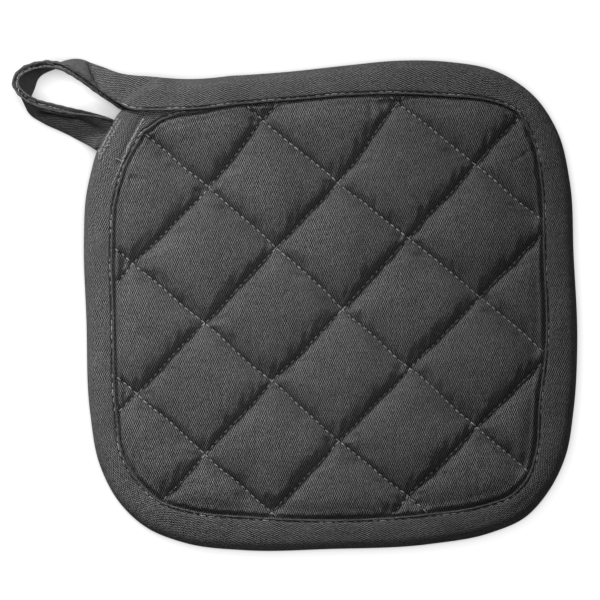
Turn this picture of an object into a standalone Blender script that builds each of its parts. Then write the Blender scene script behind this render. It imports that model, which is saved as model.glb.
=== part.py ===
"""Quilted pot holder with a bound edge and a hanging loop, lying on its back.

A square pad with round corners is quilted in crossing lines of stitches, which leave puffed
diamonds on its front. A strip is folded over its edge all round. Where the strip comes back to its
start, at the top left corner, it laps over that start, runs on past the corner as a loop that
stands on its folded edge, and comes back to be sewn under the corner.

Frame: metres, +Z up. The holder lies on z = 0 with its front up. +X runs to the right and +Y to
the top of the holder as it is seen from above, and the origin is under the middle of the whole
piece, loop included. The tables below are in millimetres from the middle of the square.
"""

import itertools
import math
from collections import namedtuple

import bmesh
import bpy
import numpy as np
from mathutils import Vector
from mathutils.geometry import delaunay_2d_cdt

MM = 0.001

# Square pad and strip.
STRIP_WALL = 0.9  # one side of the folded strip, with its turned-in hem
STRIP_FOLD_REACH = 2.2  # how far the round of the fold reaches in from the edge
INNER_FOLD_PART = 0.78  # the inside of the fold is rounded over this part of that reach
CLOSING_LENGTH = 4.0  # the strip's two sides close over this length past the pad's edge
CLOSING_START = 3.5  # and begin that far past it
LAPPED_LENGTH = 42.0  # of the strip's start, pressed flat under its last length
FIT = 0.3  # clear space between one piece and the next
RIM_THICKNESS = 3.6  # the pad where the strip grips it
RIM_INSET = 2.2  # from the strip's fold to the pad's own edge
LIP_SLACK = 0.5  # from the strip's open edge to where the quilting starts to rise

# Quilting.
PUFF_HEIGHT = 5.0  # top of a diamond above the seams round it
SEAM_RISE = 0.5  # seams of the panel above the gripped rim
PUFF_REACH = 11.0  # a puff is full this far in from the strip
PUFF_SHARPNESS = 0.6  # below 1, a puff is steep at its seams and flat on top
RISE_SHARPNESS = 0.75  # the same where it rises from under the strip
PUFF_UNEVENNESS = 0.08  # how far one diamond is fuller or flatter than the next
BACK_VALLEY = 1.3  # how far the back's seams are drawn up off the table
BACK_VALLEY_HALF = 0.17  # half width of such a valley, as a part of a diamond
RIM_DROP = 5.0  # the back comes down to the table over this width
LIFT_FADE = 12.0  # the corner's lift fades over this width of the panel

# Where the work lies against the middle of the whole piece.
SQUARE_MIDDLE = (14.0, -0.3)

# Spacing of the cuts that the strip is built from.
EDGE_SPACING = 7.6
LOOP_SPACING = 4.6

# The corner stands up on the strip's end, which is sewn under it: height by distance.
LIFTED_CORNER = (-88.6, 72.2)
LIFT_DISTANCE = (0.0, 18.0, 49.0, 66.0)
LIFT_HEIGHT = (2.5, 2.5, 1.5, 0.0)

# The folded edge of the strip, from its start at the top left corner, down the left side and round
# to the top again, with the width of its front.
Edge = namedtuple("Edge", "x y width")
BOUND_EDGE = (
    Edge(-44.0, 91.5, 10.5),
    Edge(-53.0, 90.5, 12.0),
    Edge(-65.0, 89.0, 12.5),
    Edge(-73.0, 86.5, 12.5),
    Edge(-80.0, 82.5, 13.0),
    Edge(-85.0, 79.0, 13.3),
    Edge(-90.0, 71.0, 13.2),
    Edge(-94.5, 63.0, 13.4),
    Edge(-97.0, 54.5, 13.0),
    Edge(-99.0, 45.0, 12.5),
    Edge(-100.0, 26.5, 12.0),
    Edge(-99.0, -6.0, 11.5),
    Edge(-97.5, -43.5, 11.2),
    Edge(-93.5, -65.0, 10.6),
    Edge(-86.0, -79.5, 11.8),
    Edge(-75.0, -90.0, 12.5),
    Edge(-59.0, -96.5, 13.6),
    Edge(-34.5, -99.5, 14.0),
    Edge(0.0, -99.0, 12.2),
    Edge(40.5, -97.0, 12.5),
    Edge(65.0, -92.5, 12.0),
    Edge(79.5, -86.0, 11.1),
    Edge(88.5, -76.0, 10.6),
    Edge(95.5, -62.0, 12.6),
    Edge(99.0, -42.5, 14.5),
    Edge(100.5, -16.0, 13.1),
    Edge(99.0, 21.0, 12.5),
    Edge(97.5, 50.0, 12.0),
    Edge(92.5, 70.5, 11.0),
    Edge(83.5, 84.5, 10.0),
    Edge(68.0, 95.0, 12.8),
    Edge(48.0, 99.0, 14.4),
    Edge(28.5, 99.5, 14.0),
    Edge(6.5, 97.5, 12.5),
    Edge(-16.5, 95.0, 12.0),
    Edge(-36.0, 93.5, 12.0),
)

# The same strip past that point. Each row is one cut: the folded edge, the open edge where the two
# sides are sewn together, the space between the sides at the fold and at the open edge, how far in
# from the fold the pad's edge lies between them, and how far the strip bows out towards its front.
Cut = namedtuple("Cut", "fold_x fold_y fold_z open_x open_y open_z gap_fold gap_open pad_edge bow")
LOOP_CUTS = (
    # over the strip's own start, along the top edge
    Cut(-36.3, 93.5, 3.8, -35.4, 81.5, 3.8, 4.2, 4.2, -1.0, 0.0),
    Cut(-39.5, 93.4, 4.1, -38.8, 81.2, 4.1, 5.4, 5.4, -1.0, 0.0),
    Cut(-43.0, 93.0, 4.4, -42.6, 80.6, 4.4, 6.8, 6.8, -1.0, 0.0),
    Cut(-51.0, 92.2, 4.7, -51.0, 79.6, 4.7, 6.9, 6.9, -1.0, 0.0),
    Cut(-59.0, 92.0, 5.0, -59.0, 79.0, 5.0, 6.9, 6.9, -1.0, 0.0),
    # the pad's corner turns away from between the two sides
    Cut(-66.0, 92.4, 4.9, -66.0, 78.8, 5.2, 3.0, 7.0, 3.3, 0.0),
    Cut(-73.0, 93.0, 4.4, -73.0, 78.5, 5.4, 0.8, 7.2, 6.0, 0.0),
    Cut(-80.0, 93.5, 3.5, -79.8, 78.5, 5.5, 0.3, 7.2, 10.3, 0.0),
    Cut(-83.7, 94.0, 2.9, -83.5, 79.6, 5.6, 0.3, 6.0, 13.3, 0.0),
    # the sides close and the strip turns up on its fold, with one crease across it
    Cut(-87.5, 95.0, 2.2, -87.0, 81.7, 7.0, 0.3, 2.2, 13.5, 0.4),
    Cut(-91.3, 96.5, 1.5, -91.0, 84.5, 9.3, 0.3, 0.4, 13.0, -0.4),
    Cut(-95.5, 97.8, 0.9, -95.3, 87.6, 11.4, 0.3, 0.3, 0.0, -1.5),
    Cut(-99.5, 99.2, 0.3, -99.0, 90.5, 12.9, 0.3, 0.3, 0.0, 0.8),
    Cut(-103.5, 99.8, 0.1, -103.0, 93.2, 13.9, 0.3, 0.3, 0.0, 0.4),
    Cut(-107.0, 99.2, 0.0, -106.7, 95.5, 14.8, 0.3, 0.3, 0.0, 0.0),
    # round the far end, where it leans outwards
    Cut(-110.3, 97.6, 0.0, -110.0, 97.0, 15.3, 0.3, 0.3, 0.0, 0.0),
    Cut(-113.5, 96.2, 0.0, -113.5, 97.6, 15.3, 0.3, 0.3, 0.0, 0.0),
    Cut(-116.5, 94.8, 0.0, -117.3, 97.5, 15.0, 0.3, 0.3, 0.0, 0.0),
    Cut(-118.3, 93.3, 0.0, -121.3, 96.7, 14.6, 0.3, 0.3, 0.0, 0.0),
    Cut(-119.2, 91.8, 0.0, -125.0, 95.0, 13.9, 0.3, 0.3, 0.0, 0.2),
    Cut(-119.8, 90.0, 0.0, -127.6, 92.3, 13.2, 0.3, 0.3, 0.0, 0.3),
    Cut(-120.5, 87.8, 0.0, -127.6, 89.3, 13.5, 0.3, 0.3, 0.0, 0.5),
    Cut(-121.7, 85.2, 0.0, -125.6, 86.5, 14.6, 0.3, 0.3, 0.0, 0.8),
    Cut(-122.9, 82.2, 0.0, -122.9, 84.2, 15.2, 0.3, 0.3, 0.0, 0.8),
    Cut(-122.6, 79.2, 0.0, -119.8, 82.5, 14.7, 0.3, 0.3, 0.0, 0.4),
    # back along the lower side, leaning in, with a hollow before the seam
    Cut(-119.8, 76.2, 0.0, -116.5, 81.6, 14.0, 0.3, 0.3, 0.0, 0.0),
    Cut(-116.0, 74.0, 0.0, -113.0, 80.8, 13.5, 0.3, 0.3, 0.0, 0.0),
    Cut(-111.0, 71.7, 0.0, -109.3, 79.9, 12.9, 0.3, 0.3, 0.0, -0.3),
    Cut(-106.3, 69.4, 0.1, -104.8, 79.0, 11.8, 0.3, 0.3, 0.0, -0.8),
    Cut(-102.0, 67.0, 0.3, -100.0, 78.3, 9.8, 0.3, 0.3, 0.0, -1.5),
    Cut(-98.3, 65.0, 0.7, -94.5, 77.3, 5.8, 0.3, 0.3, 0.0, -1.0),
    # flat under the corner, where it is sewn
    Cut(-95.0, 63.0, 1.05, -88.5, 75.8, 1.6, 0.3, 0.3, 0.0, 0.0),
    Cut(-92.0, 61.2, 1.05, -84.6, 73.8, 1.05, 0.3, 0.3, 0.0, 0.0),
    Cut(-89.5, 59.6, 1.05, -82.0, 72.2, 1.05, 0.3, 0.3, 0.0, 0.0),
)

# Where the strip's front rises and dips across its width: part of the width, height.
FRONT_ACROSS = (0.3, 0.6, 0.84, 1.0)
FRONT_RELIEF = (0.45, 0.40, -0.05, 0.15)
FRONT_WAVE = 0.35  # how uneven that relief is along the strip
LOOP_ACROSS = (0.15, 0.32, 0.5, 0.68, 0.86, 1.0)
FOLD_STEPS = 4  # flats round the outside of the fold

# Quilting lines cross on a slanted grid: the middle crossing, the step to the next rising line and
# the step to the next falling line, and how far the sewing strayed at each crossing.
MIDDLE_CROSSING = np.array((4.0, -1.5))
NEXT_RISING = np.array((28.0, -24.0))
NEXT_FALLING = np.array((-27.3, -29.3))
LINES = 5  # lines of each slant
STRAY = np.array((
    ((-3.0, 0.5), (-2.5, -0.5), (3.0, 1.0), (-0.5, -0.5), (-0.5, 0.0)),
    ((-3.0, 1.0), (0.0, -2.0), (2.5, 1.0), (0.0, -0.5), (0.0, 0.5)),
    ((0.5, 0.0), (0.5, -0.5), (1.5, 0.0), (-0.5, 0.0), (0.0, -0.5)),
    ((2.5, -1.0), (1.5, -0.5), (0.5, 0.0), (-1.0, -0.5), (-1.0, 0.0)),
    ((2.5, -0.5), (1.5, -0.5), (-0.5, 0.0), (-1.0, 1.5), (-1.0, 0.5)),
))
PAST_LINES = 2  # diamonds past the outer lines, as far as the pad's outline
DIAMOND_CUTS = (0.0, 0.06, 0.19, 0.38, 0.62, 0.81, 0.94)  # points of a diamond, finer at its seams
RISE_LINES = (0.0, 2.0, 5.0)  # rows of points along the strip's open edge, where the puffs rise
LINE_SPACE = 1.1  # no other points this near to such a row
SEAM_STOP = 0.4  # seams are drawn to this near the strip's open edge
INSIDE_OUTLINE = 1  # keep the triangles inside the lines, and none outside


def empty_scene():
    """Take out whatever the file opened with."""
    for item in list(bpy.data.objects):
        bpy.data.objects.remove(item, do_unlink=True)


def cloth(name, colour, roughness):
    """Plain cotton cloth in one colour."""
    material = bpy.data.materials.new(name)
    material.use_nodes = True
    surface = material.node_tree.nodes["Principled BSDF"]
    surface.inputs["Base Color"].default_value = (*colour, 1.0)
    surface.inputs["Roughness"].default_value = roughness
    surface.inputs["Metallic"].default_value = 0.0
    return material


def ease(value):
    """Go smoothly from 0 to 1 as the value does."""
    value = np.clip(value, 0.0, 1.0)
    return value * value * (3.0 - 2.0 * value)


def lift(x, y):
    """Height of the raised corner's underside above the table."""
    distance = np.hypot(x - LIFTED_CORNER[0], y - LIFTED_CORNER[1])
    return np.interp(distance, LIFT_DISTANCE, LIFT_HEIGHT)


def smooth_rows(rows, spacing):
    """Rows read about every spacing from a smooth curve through the given rows."""
    rows = np.array(rows, float)
    steps = np.linalg.norm(np.diff(rows[:, :2], axis=0), axis=1)
    along = np.concatenate(((0.0,), np.cumsum(steps)))
    slope = np.gradient(rows, along, axis=0)
    result = []
    for index, step in enumerate(steps):
        count = max(1, round(step / spacing))
        for part in np.arange(count) / count:
            square, cube = part**2, part**3
            result.append(
                (2 * cube - 3 * square + 1) * rows[index]
                + (cube - 2 * square + part) * step * slope[index]
                + (3 * square - 2 * cube) * rows[index + 1]
                + (cube - square) * step * slope[index + 1]
            )
    result.append(rows[-1])
    return np.array(result)


def unit(vectors):
    """Each vector at length 1."""
    return vectors / np.linalg.norm(vectors, axis=-1, keepdims=True)


def bound_edge():
    """Fold line of the strip round the square, the way in from it and the strip's width."""
    rows = smooth_rows(BOUND_EDGE, EDGE_SPACING)
    fold = rows[:, :2]
    run = unit(np.gradient(fold, axis=0))
    inwards = np.stack((-run[:, 1], run[:, 0]), axis=1)
    return fold, inwards, rows[:, 2]


def fold_arc(reach, tip, half, steps):
    """Round end of a fold: from the back, at -half, by the tip to the front, at +half."""
    angles = np.linspace(-math.pi / 2, math.pi / 2, steps + 1)
    return [(reach - (reach - tip) * math.cos(a), half * math.sin(a)) for a in angles]


def folded_section(width, gap_fold, gap_open, pad_edge, bow, across, relief):
    """One cut across the folded strip, as points (in from the fold, up towards the front)."""

    def half_gap(place):
        closing = ease((place - pad_edge + CLOSING_START) / CLOSING_LENGTH)
        return (gap_fold + (gap_open - gap_fold) * closing) / 2

    outer_reach = min(STRIP_FOLD_REACH, gap_fold / 2 + STRIP_WALL)
    inner_reach = STRIP_WALL + INNER_FOLD_PART * (outer_reach - STRIP_WALL)
    places = [outer_reach + (width - outer_reach) * part for part in across]

    back = [(place, -half_gap(place) - STRIP_WALL) for place in places]
    front = [(place, half_gap(place) + STRIP_WALL + rise) for place, rise in zip(places, relief)]
    inner_back = [(place, -half_gap(place)) for place in places]
    inner_front = [(place, half_gap(place)) for place in places]
    outer_fold = fold_arc(outer_reach, 0.0, half_gap(outer_reach) + STRIP_WALL, FOLD_STEPS)
    inner_fold = fold_arc(inner_reach, STRIP_WALL, half_gap(inner_reach), 2)

    points = back[::-1] + outer_fold + front
    points += inner_front[::-1] + inner_fold[::-1] + inner_back
    return [(a, b + bow * math.sin(math.pi * min(1.0, a / width))) for a, b in points]


def finish_mesh(name, mesh_builder):
    """A new object from a closed mesh, in triangles that face out."""
    bmesh.ops.triangulate(mesh_builder, faces=mesh_builder.faces)
    bmesh.ops.recalc_face_normals(mesh_builder, faces=mesh_builder.faces)
    mesh = bpy.data.meshes.new(name)
    mesh_builder.to_mesh(mesh)
    mesh_builder.free()
    return bpy.data.objects.new(name, mesh)


def loft(name, sections):
    """Closed skin over a row of cuts that all have the same number of points."""
    mesh_builder = bmesh.new()
    rings = [[mesh_builder.verts.new(point * MM) for point in section] for section in sections]
    for ring, following in zip(rings, rings[1:]):
        for index in range(len(ring)):
            after = (index + 1) % len(ring)
            mesh_builder.faces.new((ring[index], ring[after], following[after], following[index]))
    mesh_builder.faces.new(rings[0])
    mesh_builder.faces.new(rings[-1])
    return finish_mesh(name, mesh_builder)


def strip(name, folds, opens, gaps, across, reliefs):
    """The folded strip along its folded edge and its open edge."""
    run = unit(np.gradient((folds + opens) / 2, axis=0))
    sections = []
    for fold, open_edge, way, gap, relief in zip(folds, opens, run, gaps, reliefs):
        width = np.linalg.norm(open_edge - fold)
        inwards = (open_edge - fold) / width
        upwards = unit(np.cross(way, inwards))
        flat = folded_section(width, *gap, across, relief)
        section = [fold + a * inwards + b * upwards for a, b in flat]
        below = min(0.0, min(point[2] for point in section))
        sections.append([point - np.array((0.0, 0.0, below)) for point in section])
    return loft(name, sections)


def make_binding():
    """The strip folded over the pad's edge, all the way round."""
    fold, inwards, width = bound_edge()
    middle = lift(fold[:, 0], fold[:, 1]) + STRIP_WALL + FIT + RIM_THICKNESS / 2
    folds = np.column_stack((fold, middle))
    opens = np.column_stack((fold + inwards * width[:, None], middle))
    grip = RIM_THICKNESS + 2 * FIT
    gaps = [(grip, grip, -1.0, 0.0)] * len(folds)
    reliefs = []
    for index in range(len(folds)):
        wave = 1.0 + FRONT_WAVE * (math.sin(1.9 * index) + 0.6 * math.sin(0.7 * index))
        pressed = ease(index * EDGE_SPACING / LAPPED_LENGTH - 1.0)
        reliefs.append([rise * wave * pressed for rise in FRONT_RELIEF])
    return strip("binding", folds, opens, gaps, FRONT_ACROSS, reliefs)


def make_loop():
    """The strip's last length: over its own start, round the loop and under the corner."""
    rows = smooth_rows(LOOP_CUTS, LOOP_SPACING)
    reliefs = [[0.0] * len(LOOP_ACROSS)] * len(rows)
    return strip("hanging_loop", rows[:, 0:3], rows[:, 3:6], rows[:, 6:10], LOOP_ACROSS, reliefs)


def crossing(rising, falling):
    """Place of a point of the quilting, counted in lines of each slant."""
    even = MIDDLE_CROSSING + (rising - 3) * NEXT_RISING + (falling - 3) * NEXT_FALLING
    row = min(max(rising - 1, 0.0), LINES - 1.0)
    column = min(max(falling - 1, 0.0), LINES - 1.0)
    low_row, low_column = min(int(row), LINES - 2), min(int(column), LINES - 2)
    row_part, column_part = row - low_row, column - low_column
    near = STRAY[low_row : low_row + 2, low_column : low_column + 2]
    rows = near[0] * (1 - row_part) + near[1] * row_part
    return even + rows[0] * (1 - column_part) + rows[1] * column_part


def seam_distance(count):
    """How far a count of lines is from the nearest line, from 0 on it to 0.5 half way."""
    nearest = min(max(round(count), 1), LINES)
    return min(abs(count - nearest), 0.5)


def lines_at(point):
    """Count of rising and of falling lines at a place: crossing() the other way round."""
    steps = np.column_stack((NEXT_RISING, NEXT_FALLING))
    count = np.array((3.0, 3.0))
    for _ in range(8):
        count = count + np.linalg.solve(steps, point - crossing(*count))
    return count


def inside_binding(point, fold, width):
    """How far a point lies in from the strip's open edge, and below zero under the strip."""
    span = np.roll(fold, -1, axis=0) - fold
    part = np.clip(np.sum((point - fold) * span, axis=1) / np.sum(span * span, axis=1), 0.0, 1.0)
    away = point - fold - span * part[:, None]
    nearest = int(np.argmin(np.linalg.norm(away, axis=1)))
    leftwards = span[nearest][0] * away[nearest][1] - span[nearest][1] * away[nearest][0]
    side = math.copysign(1.0, leftwards)
    following = (nearest + 1) % len(width)
    local_width = width[nearest] + (width[following] - width[nearest]) * part[nearest]
    return side * np.linalg.norm(away[nearest]) - local_width - LIP_SLACK


def pad_heights(point, fold, width):
    """Height of the pad's underside and of its top at one place."""
    inside = inside_binding(point, fold, width)
    rising, falling = lines_at(point)
    across, along = seam_distance(rising), seam_distance(falling)
    base = lift(*point) * (1 - ease(inside / LIFT_FADE)) + STRIP_WALL + FIT

    rise = math.sin(math.pi / 2 * min(max(inside / PUFF_REACH, 0.0), 1.0)) ** RISE_SHARPNESS
    puff = (math.sin(math.pi * across) * math.sin(math.pi * along)) ** PUFF_SHARPNESS
    fullness = 1.0 + PUFF_UNEVENNESS * math.sin(2.3 * int(rising) + 1.7 * int(falling))
    top = base + RIM_THICKNESS + (SEAM_RISE + PUFF_HEIGHT * fullness * puff) * rise

    valley = BACK_VALLEY * (1 - ease(min(across, along) / BACK_VALLEY_HALF))
    drop = ease(inside / RIM_DROP)
    return base * (1 - drop) + valley * drop, top


def pad_plan(fold, inwards, width):
    """Points of the pad's plan, and the lines between them that its triangles keep to."""
    points = []
    lines = []

    def add_line(line_points):
        first = len(points)
        points.extend(line_points)
        lines.extend((place, place + 1) for place in range(first, len(points) - 1))
        return first

    for reach in (RIM_INSET - width, *(LIP_SLACK + line for line in RISE_LINES)):
        first = add_line(fold + inwards * (width + reach)[:, None])
        lines.append((len(points) - 1, first))

    whole_lines = range(1 - PAST_LINES, LINES + PAST_LINES)
    counts = [whole + part for whole in whole_lines for part in DIAMOND_CUTS]
    for seam in range(1, LINES + 1):
        for line in ([(seam, count) for count in counts], [(count, seam) for count in counts]):
            seam_points = [crossing(*place) for place in line]
            add_line([at for at in seam_points if inside_binding(at, fold, width) > SEAM_STOP])

    for place in itertools.product(counts, counts):
        inside = inside_binding(crossing(*place), fold, width)
        clear = min(abs(inside - line) for line in RISE_LINES) > LINE_SPACE
        if inside > 0 and clear and min(seam_distance(count) for count in place) > 0:
            points.append(crossing(*place))
    return points, lines


def make_pad():
    """The quilted pad: puffed on top, flat on the table between the seams of its back."""
    fold, inwards, width = bound_edge()
    points, lines = pad_plan(fold, inwards, width)
    flat_points = [Vector(point) for point in points]
    plan, _, triangles, *_ = delaunay_2d_cdt(flat_points, lines, [], INSIDE_OUTLINE, 1e-5)

    mesh_builder = bmesh.new()
    back = [mesh_builder.verts.new((*point, 0.0)) for point in plan]
    heights = {tuple(vert.co): pad_heights(np.array(vert.co.xy), fold, width) for vert in back}
    faces = [mesh_builder.faces.new([back[corner] for corner in corners]) for corners in triangles]
    raised = bmesh.ops.extrude_face_region(mesh_builder, geom=faces)["geom"]
    front = [item for item in raised if isinstance(item, bmesh.types.BMVert)]
    for layer, verts in enumerate((back, front)):
        for vert in verts:
            vert.co.z = heights[(vert.co.x, vert.co.y, 0.0)][layer]
    bmesh.ops.scale(mesh_builder, verts=mesh_builder.verts, vec=(MM, MM, MM))
    return finish_mesh("quilted_pad", mesh_builder)


def main():
    """Build the pot holder."""
    empty_scene()
    holder = bpy.data.collections.new("pot_holder")
    bpy.context.scene.collection.children.link(holder)
    pieces = (
        (make_pad(), cloth("quilting_twill", (0.052, 0.052, 0.054), 0.85)),
        (make_binding(), cloth("binding_twill", (0.048, 0.048, 0.050), 0.85)),
        (make_loop(), cloth("loop_twill", (0.044, 0.044, 0.046), 0.85)),
    )
    for piece, material in pieces:
        piece.data.materials.append(material)
        piece.data.shade_smooth()
        piece.data.set_sharp_from_angle(angle=math.radians(50))
        piece.location = (SQUARE_MIDDLE[0] * MM, SQUARE_MIDDLE[1] * MM, 0.0)
        holder.objects.link(piece)


main()
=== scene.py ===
"""Quilted pot holder with a bound edge and a hanging loop, made of charcoal cotton twill.

The packed solids are the frame, and every piece here lies where they do. The quilted pad is a
stuffed piece whose front is inflated between its seams by a cloth simulation. One folded strip
binds its edge and runs on as the loop. Stitches are set along both.

Tables and sizes are in millimetres from the middle of the square, with the front up and the top of
the holder towards +Y. Finished meshes are in metres in the frame of the packed model.
"""

import math
from collections import namedtuple

import bmesh
import bpy
import numpy as np
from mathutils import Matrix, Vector, noise
from mathutils.bvhtree import BVHTree
from mathutils.geometry import delaunay_2d_cdt


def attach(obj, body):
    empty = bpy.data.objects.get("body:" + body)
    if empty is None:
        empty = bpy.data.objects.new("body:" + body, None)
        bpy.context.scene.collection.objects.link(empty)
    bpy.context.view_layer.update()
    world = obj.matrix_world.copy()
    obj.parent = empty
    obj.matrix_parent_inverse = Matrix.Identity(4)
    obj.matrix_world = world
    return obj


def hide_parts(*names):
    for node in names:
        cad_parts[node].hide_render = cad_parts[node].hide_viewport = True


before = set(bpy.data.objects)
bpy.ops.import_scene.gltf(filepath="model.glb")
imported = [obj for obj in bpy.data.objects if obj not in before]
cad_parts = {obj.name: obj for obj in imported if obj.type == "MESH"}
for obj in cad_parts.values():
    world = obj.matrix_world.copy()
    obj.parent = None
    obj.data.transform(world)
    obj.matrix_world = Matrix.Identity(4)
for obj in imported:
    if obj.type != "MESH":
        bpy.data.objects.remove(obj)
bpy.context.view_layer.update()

bl_info = {
    "name": "Quilted Pot Holder",
    "version": (1, 0, 0),
    "blender": (4, 5, 0),
    "location": "3D View > Sidebar > Pot Holder",
    "description": "Makes a quilted pot holder with a bound edge, a hanging loop and its stitching",
    "category": "Object",
}

MM = 0.001
SQUARE_MIDDLE = (14.0, -0.3)  # middle of the square in the frame of the packed model

# Square pad and strip.
STRIP_WALL = 0.9  # one side of the folded strip, with its turned-in hem
FOLD_ROUND = 1.75  # the outside of the fold is rounded over this much of its half thickness
WIDEST_ROUND = 6.0  # but no further in than this
FOLD_DROP = 1.1  # its edge lies low, by this part of half the space inside
INNER_ROUND = 1.1  # the inside of the fold is rounded over this part of half that space
INNER_DROP = 0.57  # and its edge lies low too
CLOSING_LENGTH = 4.0  # the strip's two sides close over this length past the pad's edge
CLOSING_START = 3.5  # and begin that far past it
LAPPED_LENGTH = 42.0  # of the strip's start, pressed flat under its last length
FIT = 0.3  # clear space between one piece and the next
RIM_THICKNESS = 3.6  # the pad where the strip grips it
RIM_INSET = 3.4  # from the strip's fold to the pad's own edge
LIP_SLACK = 0.3  # from the strip's open edge to where the quilting starts to rise

# Quilting.
PUFF_HEIGHT = 5.0  # top of a diamond above the seams round it
SEAM_RISE = 0.5  # seams of the panel above the gripped rim
PUFF_REACH = 11.0  # a puff is full this far in from the strip
BACK_VALLEY = 1.3  # how far the back's seams are drawn up off the table
BACK_VALLEY_HALF = 0.17  # half width of such a valley, as a part of a diamond
RIM_DROP = 5.0  # the back comes down to the table over this width
LIFT_FADE = 12.0  # the corner's lift fades over this width of the panel

# The corner stands up on the strip's end, which is sewn under it: height by distance.
LIFTED_CORNER = (-88.6, 72.2)
LIFT_DISTANCE = (0.0, 18.0, 49.0, 66.0)
LIFT_HEIGHT = (2.5, 2.5, 1.5, 0.0)

# The folded edge of the strip, from its start at the top left corner, down the left side and round
# to the top again, with the width of its front.
Edge = namedtuple("Edge", "x y width")
BOUND_EDGE = (
    Edge(-44.0, 91.5, 10.5),
    Edge(-53.0, 90.5, 12.0),
    Edge(-65.0, 89.0, 12.5),
    Edge(-73.0, 86.5, 12.5),
    Edge(-80.0, 82.5, 13.0),
    Edge(-85.0, 79.0, 13.3),
    Edge(-90.0, 71.0, 13.2),
    Edge(-94.5, 63.0, 13.4),
    Edge(-97.0, 54.5, 13.0),
    Edge(-99.0, 45.0, 12.5),
    Edge(-100.0, 26.5, 12.0),
    Edge(-99.0, -6.0, 11.5),
    Edge(-97.5, -43.5, 11.2),
    Edge(-93.5, -65.0, 10.6),
    Edge(-86.0, -79.5, 11.8),
    Edge(-75.0, -90.0, 12.5),
    Edge(-59.0, -96.5, 13.6),
    Edge(-34.5, -99.5, 14.0),
    Edge(0.0, -99.0, 12.2),
    Edge(40.5, -97.0, 12.5),
    Edge(65.0, -92.5, 12.0),
    Edge(79.5, -86.0, 11.1),
    Edge(88.5, -76.0, 10.6),
    Edge(95.5, -62.0, 12.6),
    Edge(99.0, -42.5, 14.5),
    Edge(100.5, -16.0, 13.1),
    Edge(99.0, 21.0, 12.5),
    Edge(97.5, 50.0, 12.0),
    Edge(92.5, 70.5, 11.0),
    Edge(83.5, 84.5, 10.0),
    Edge(68.0, 95.0, 12.8),
    Edge(48.0, 99.0, 14.4),
    Edge(28.5, 99.5, 14.0),
    Edge(6.5, 97.5, 12.5),
    Edge(-16.5, 95.0, 12.0),
    Edge(-36.0, 93.5, 12.0),
)

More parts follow.
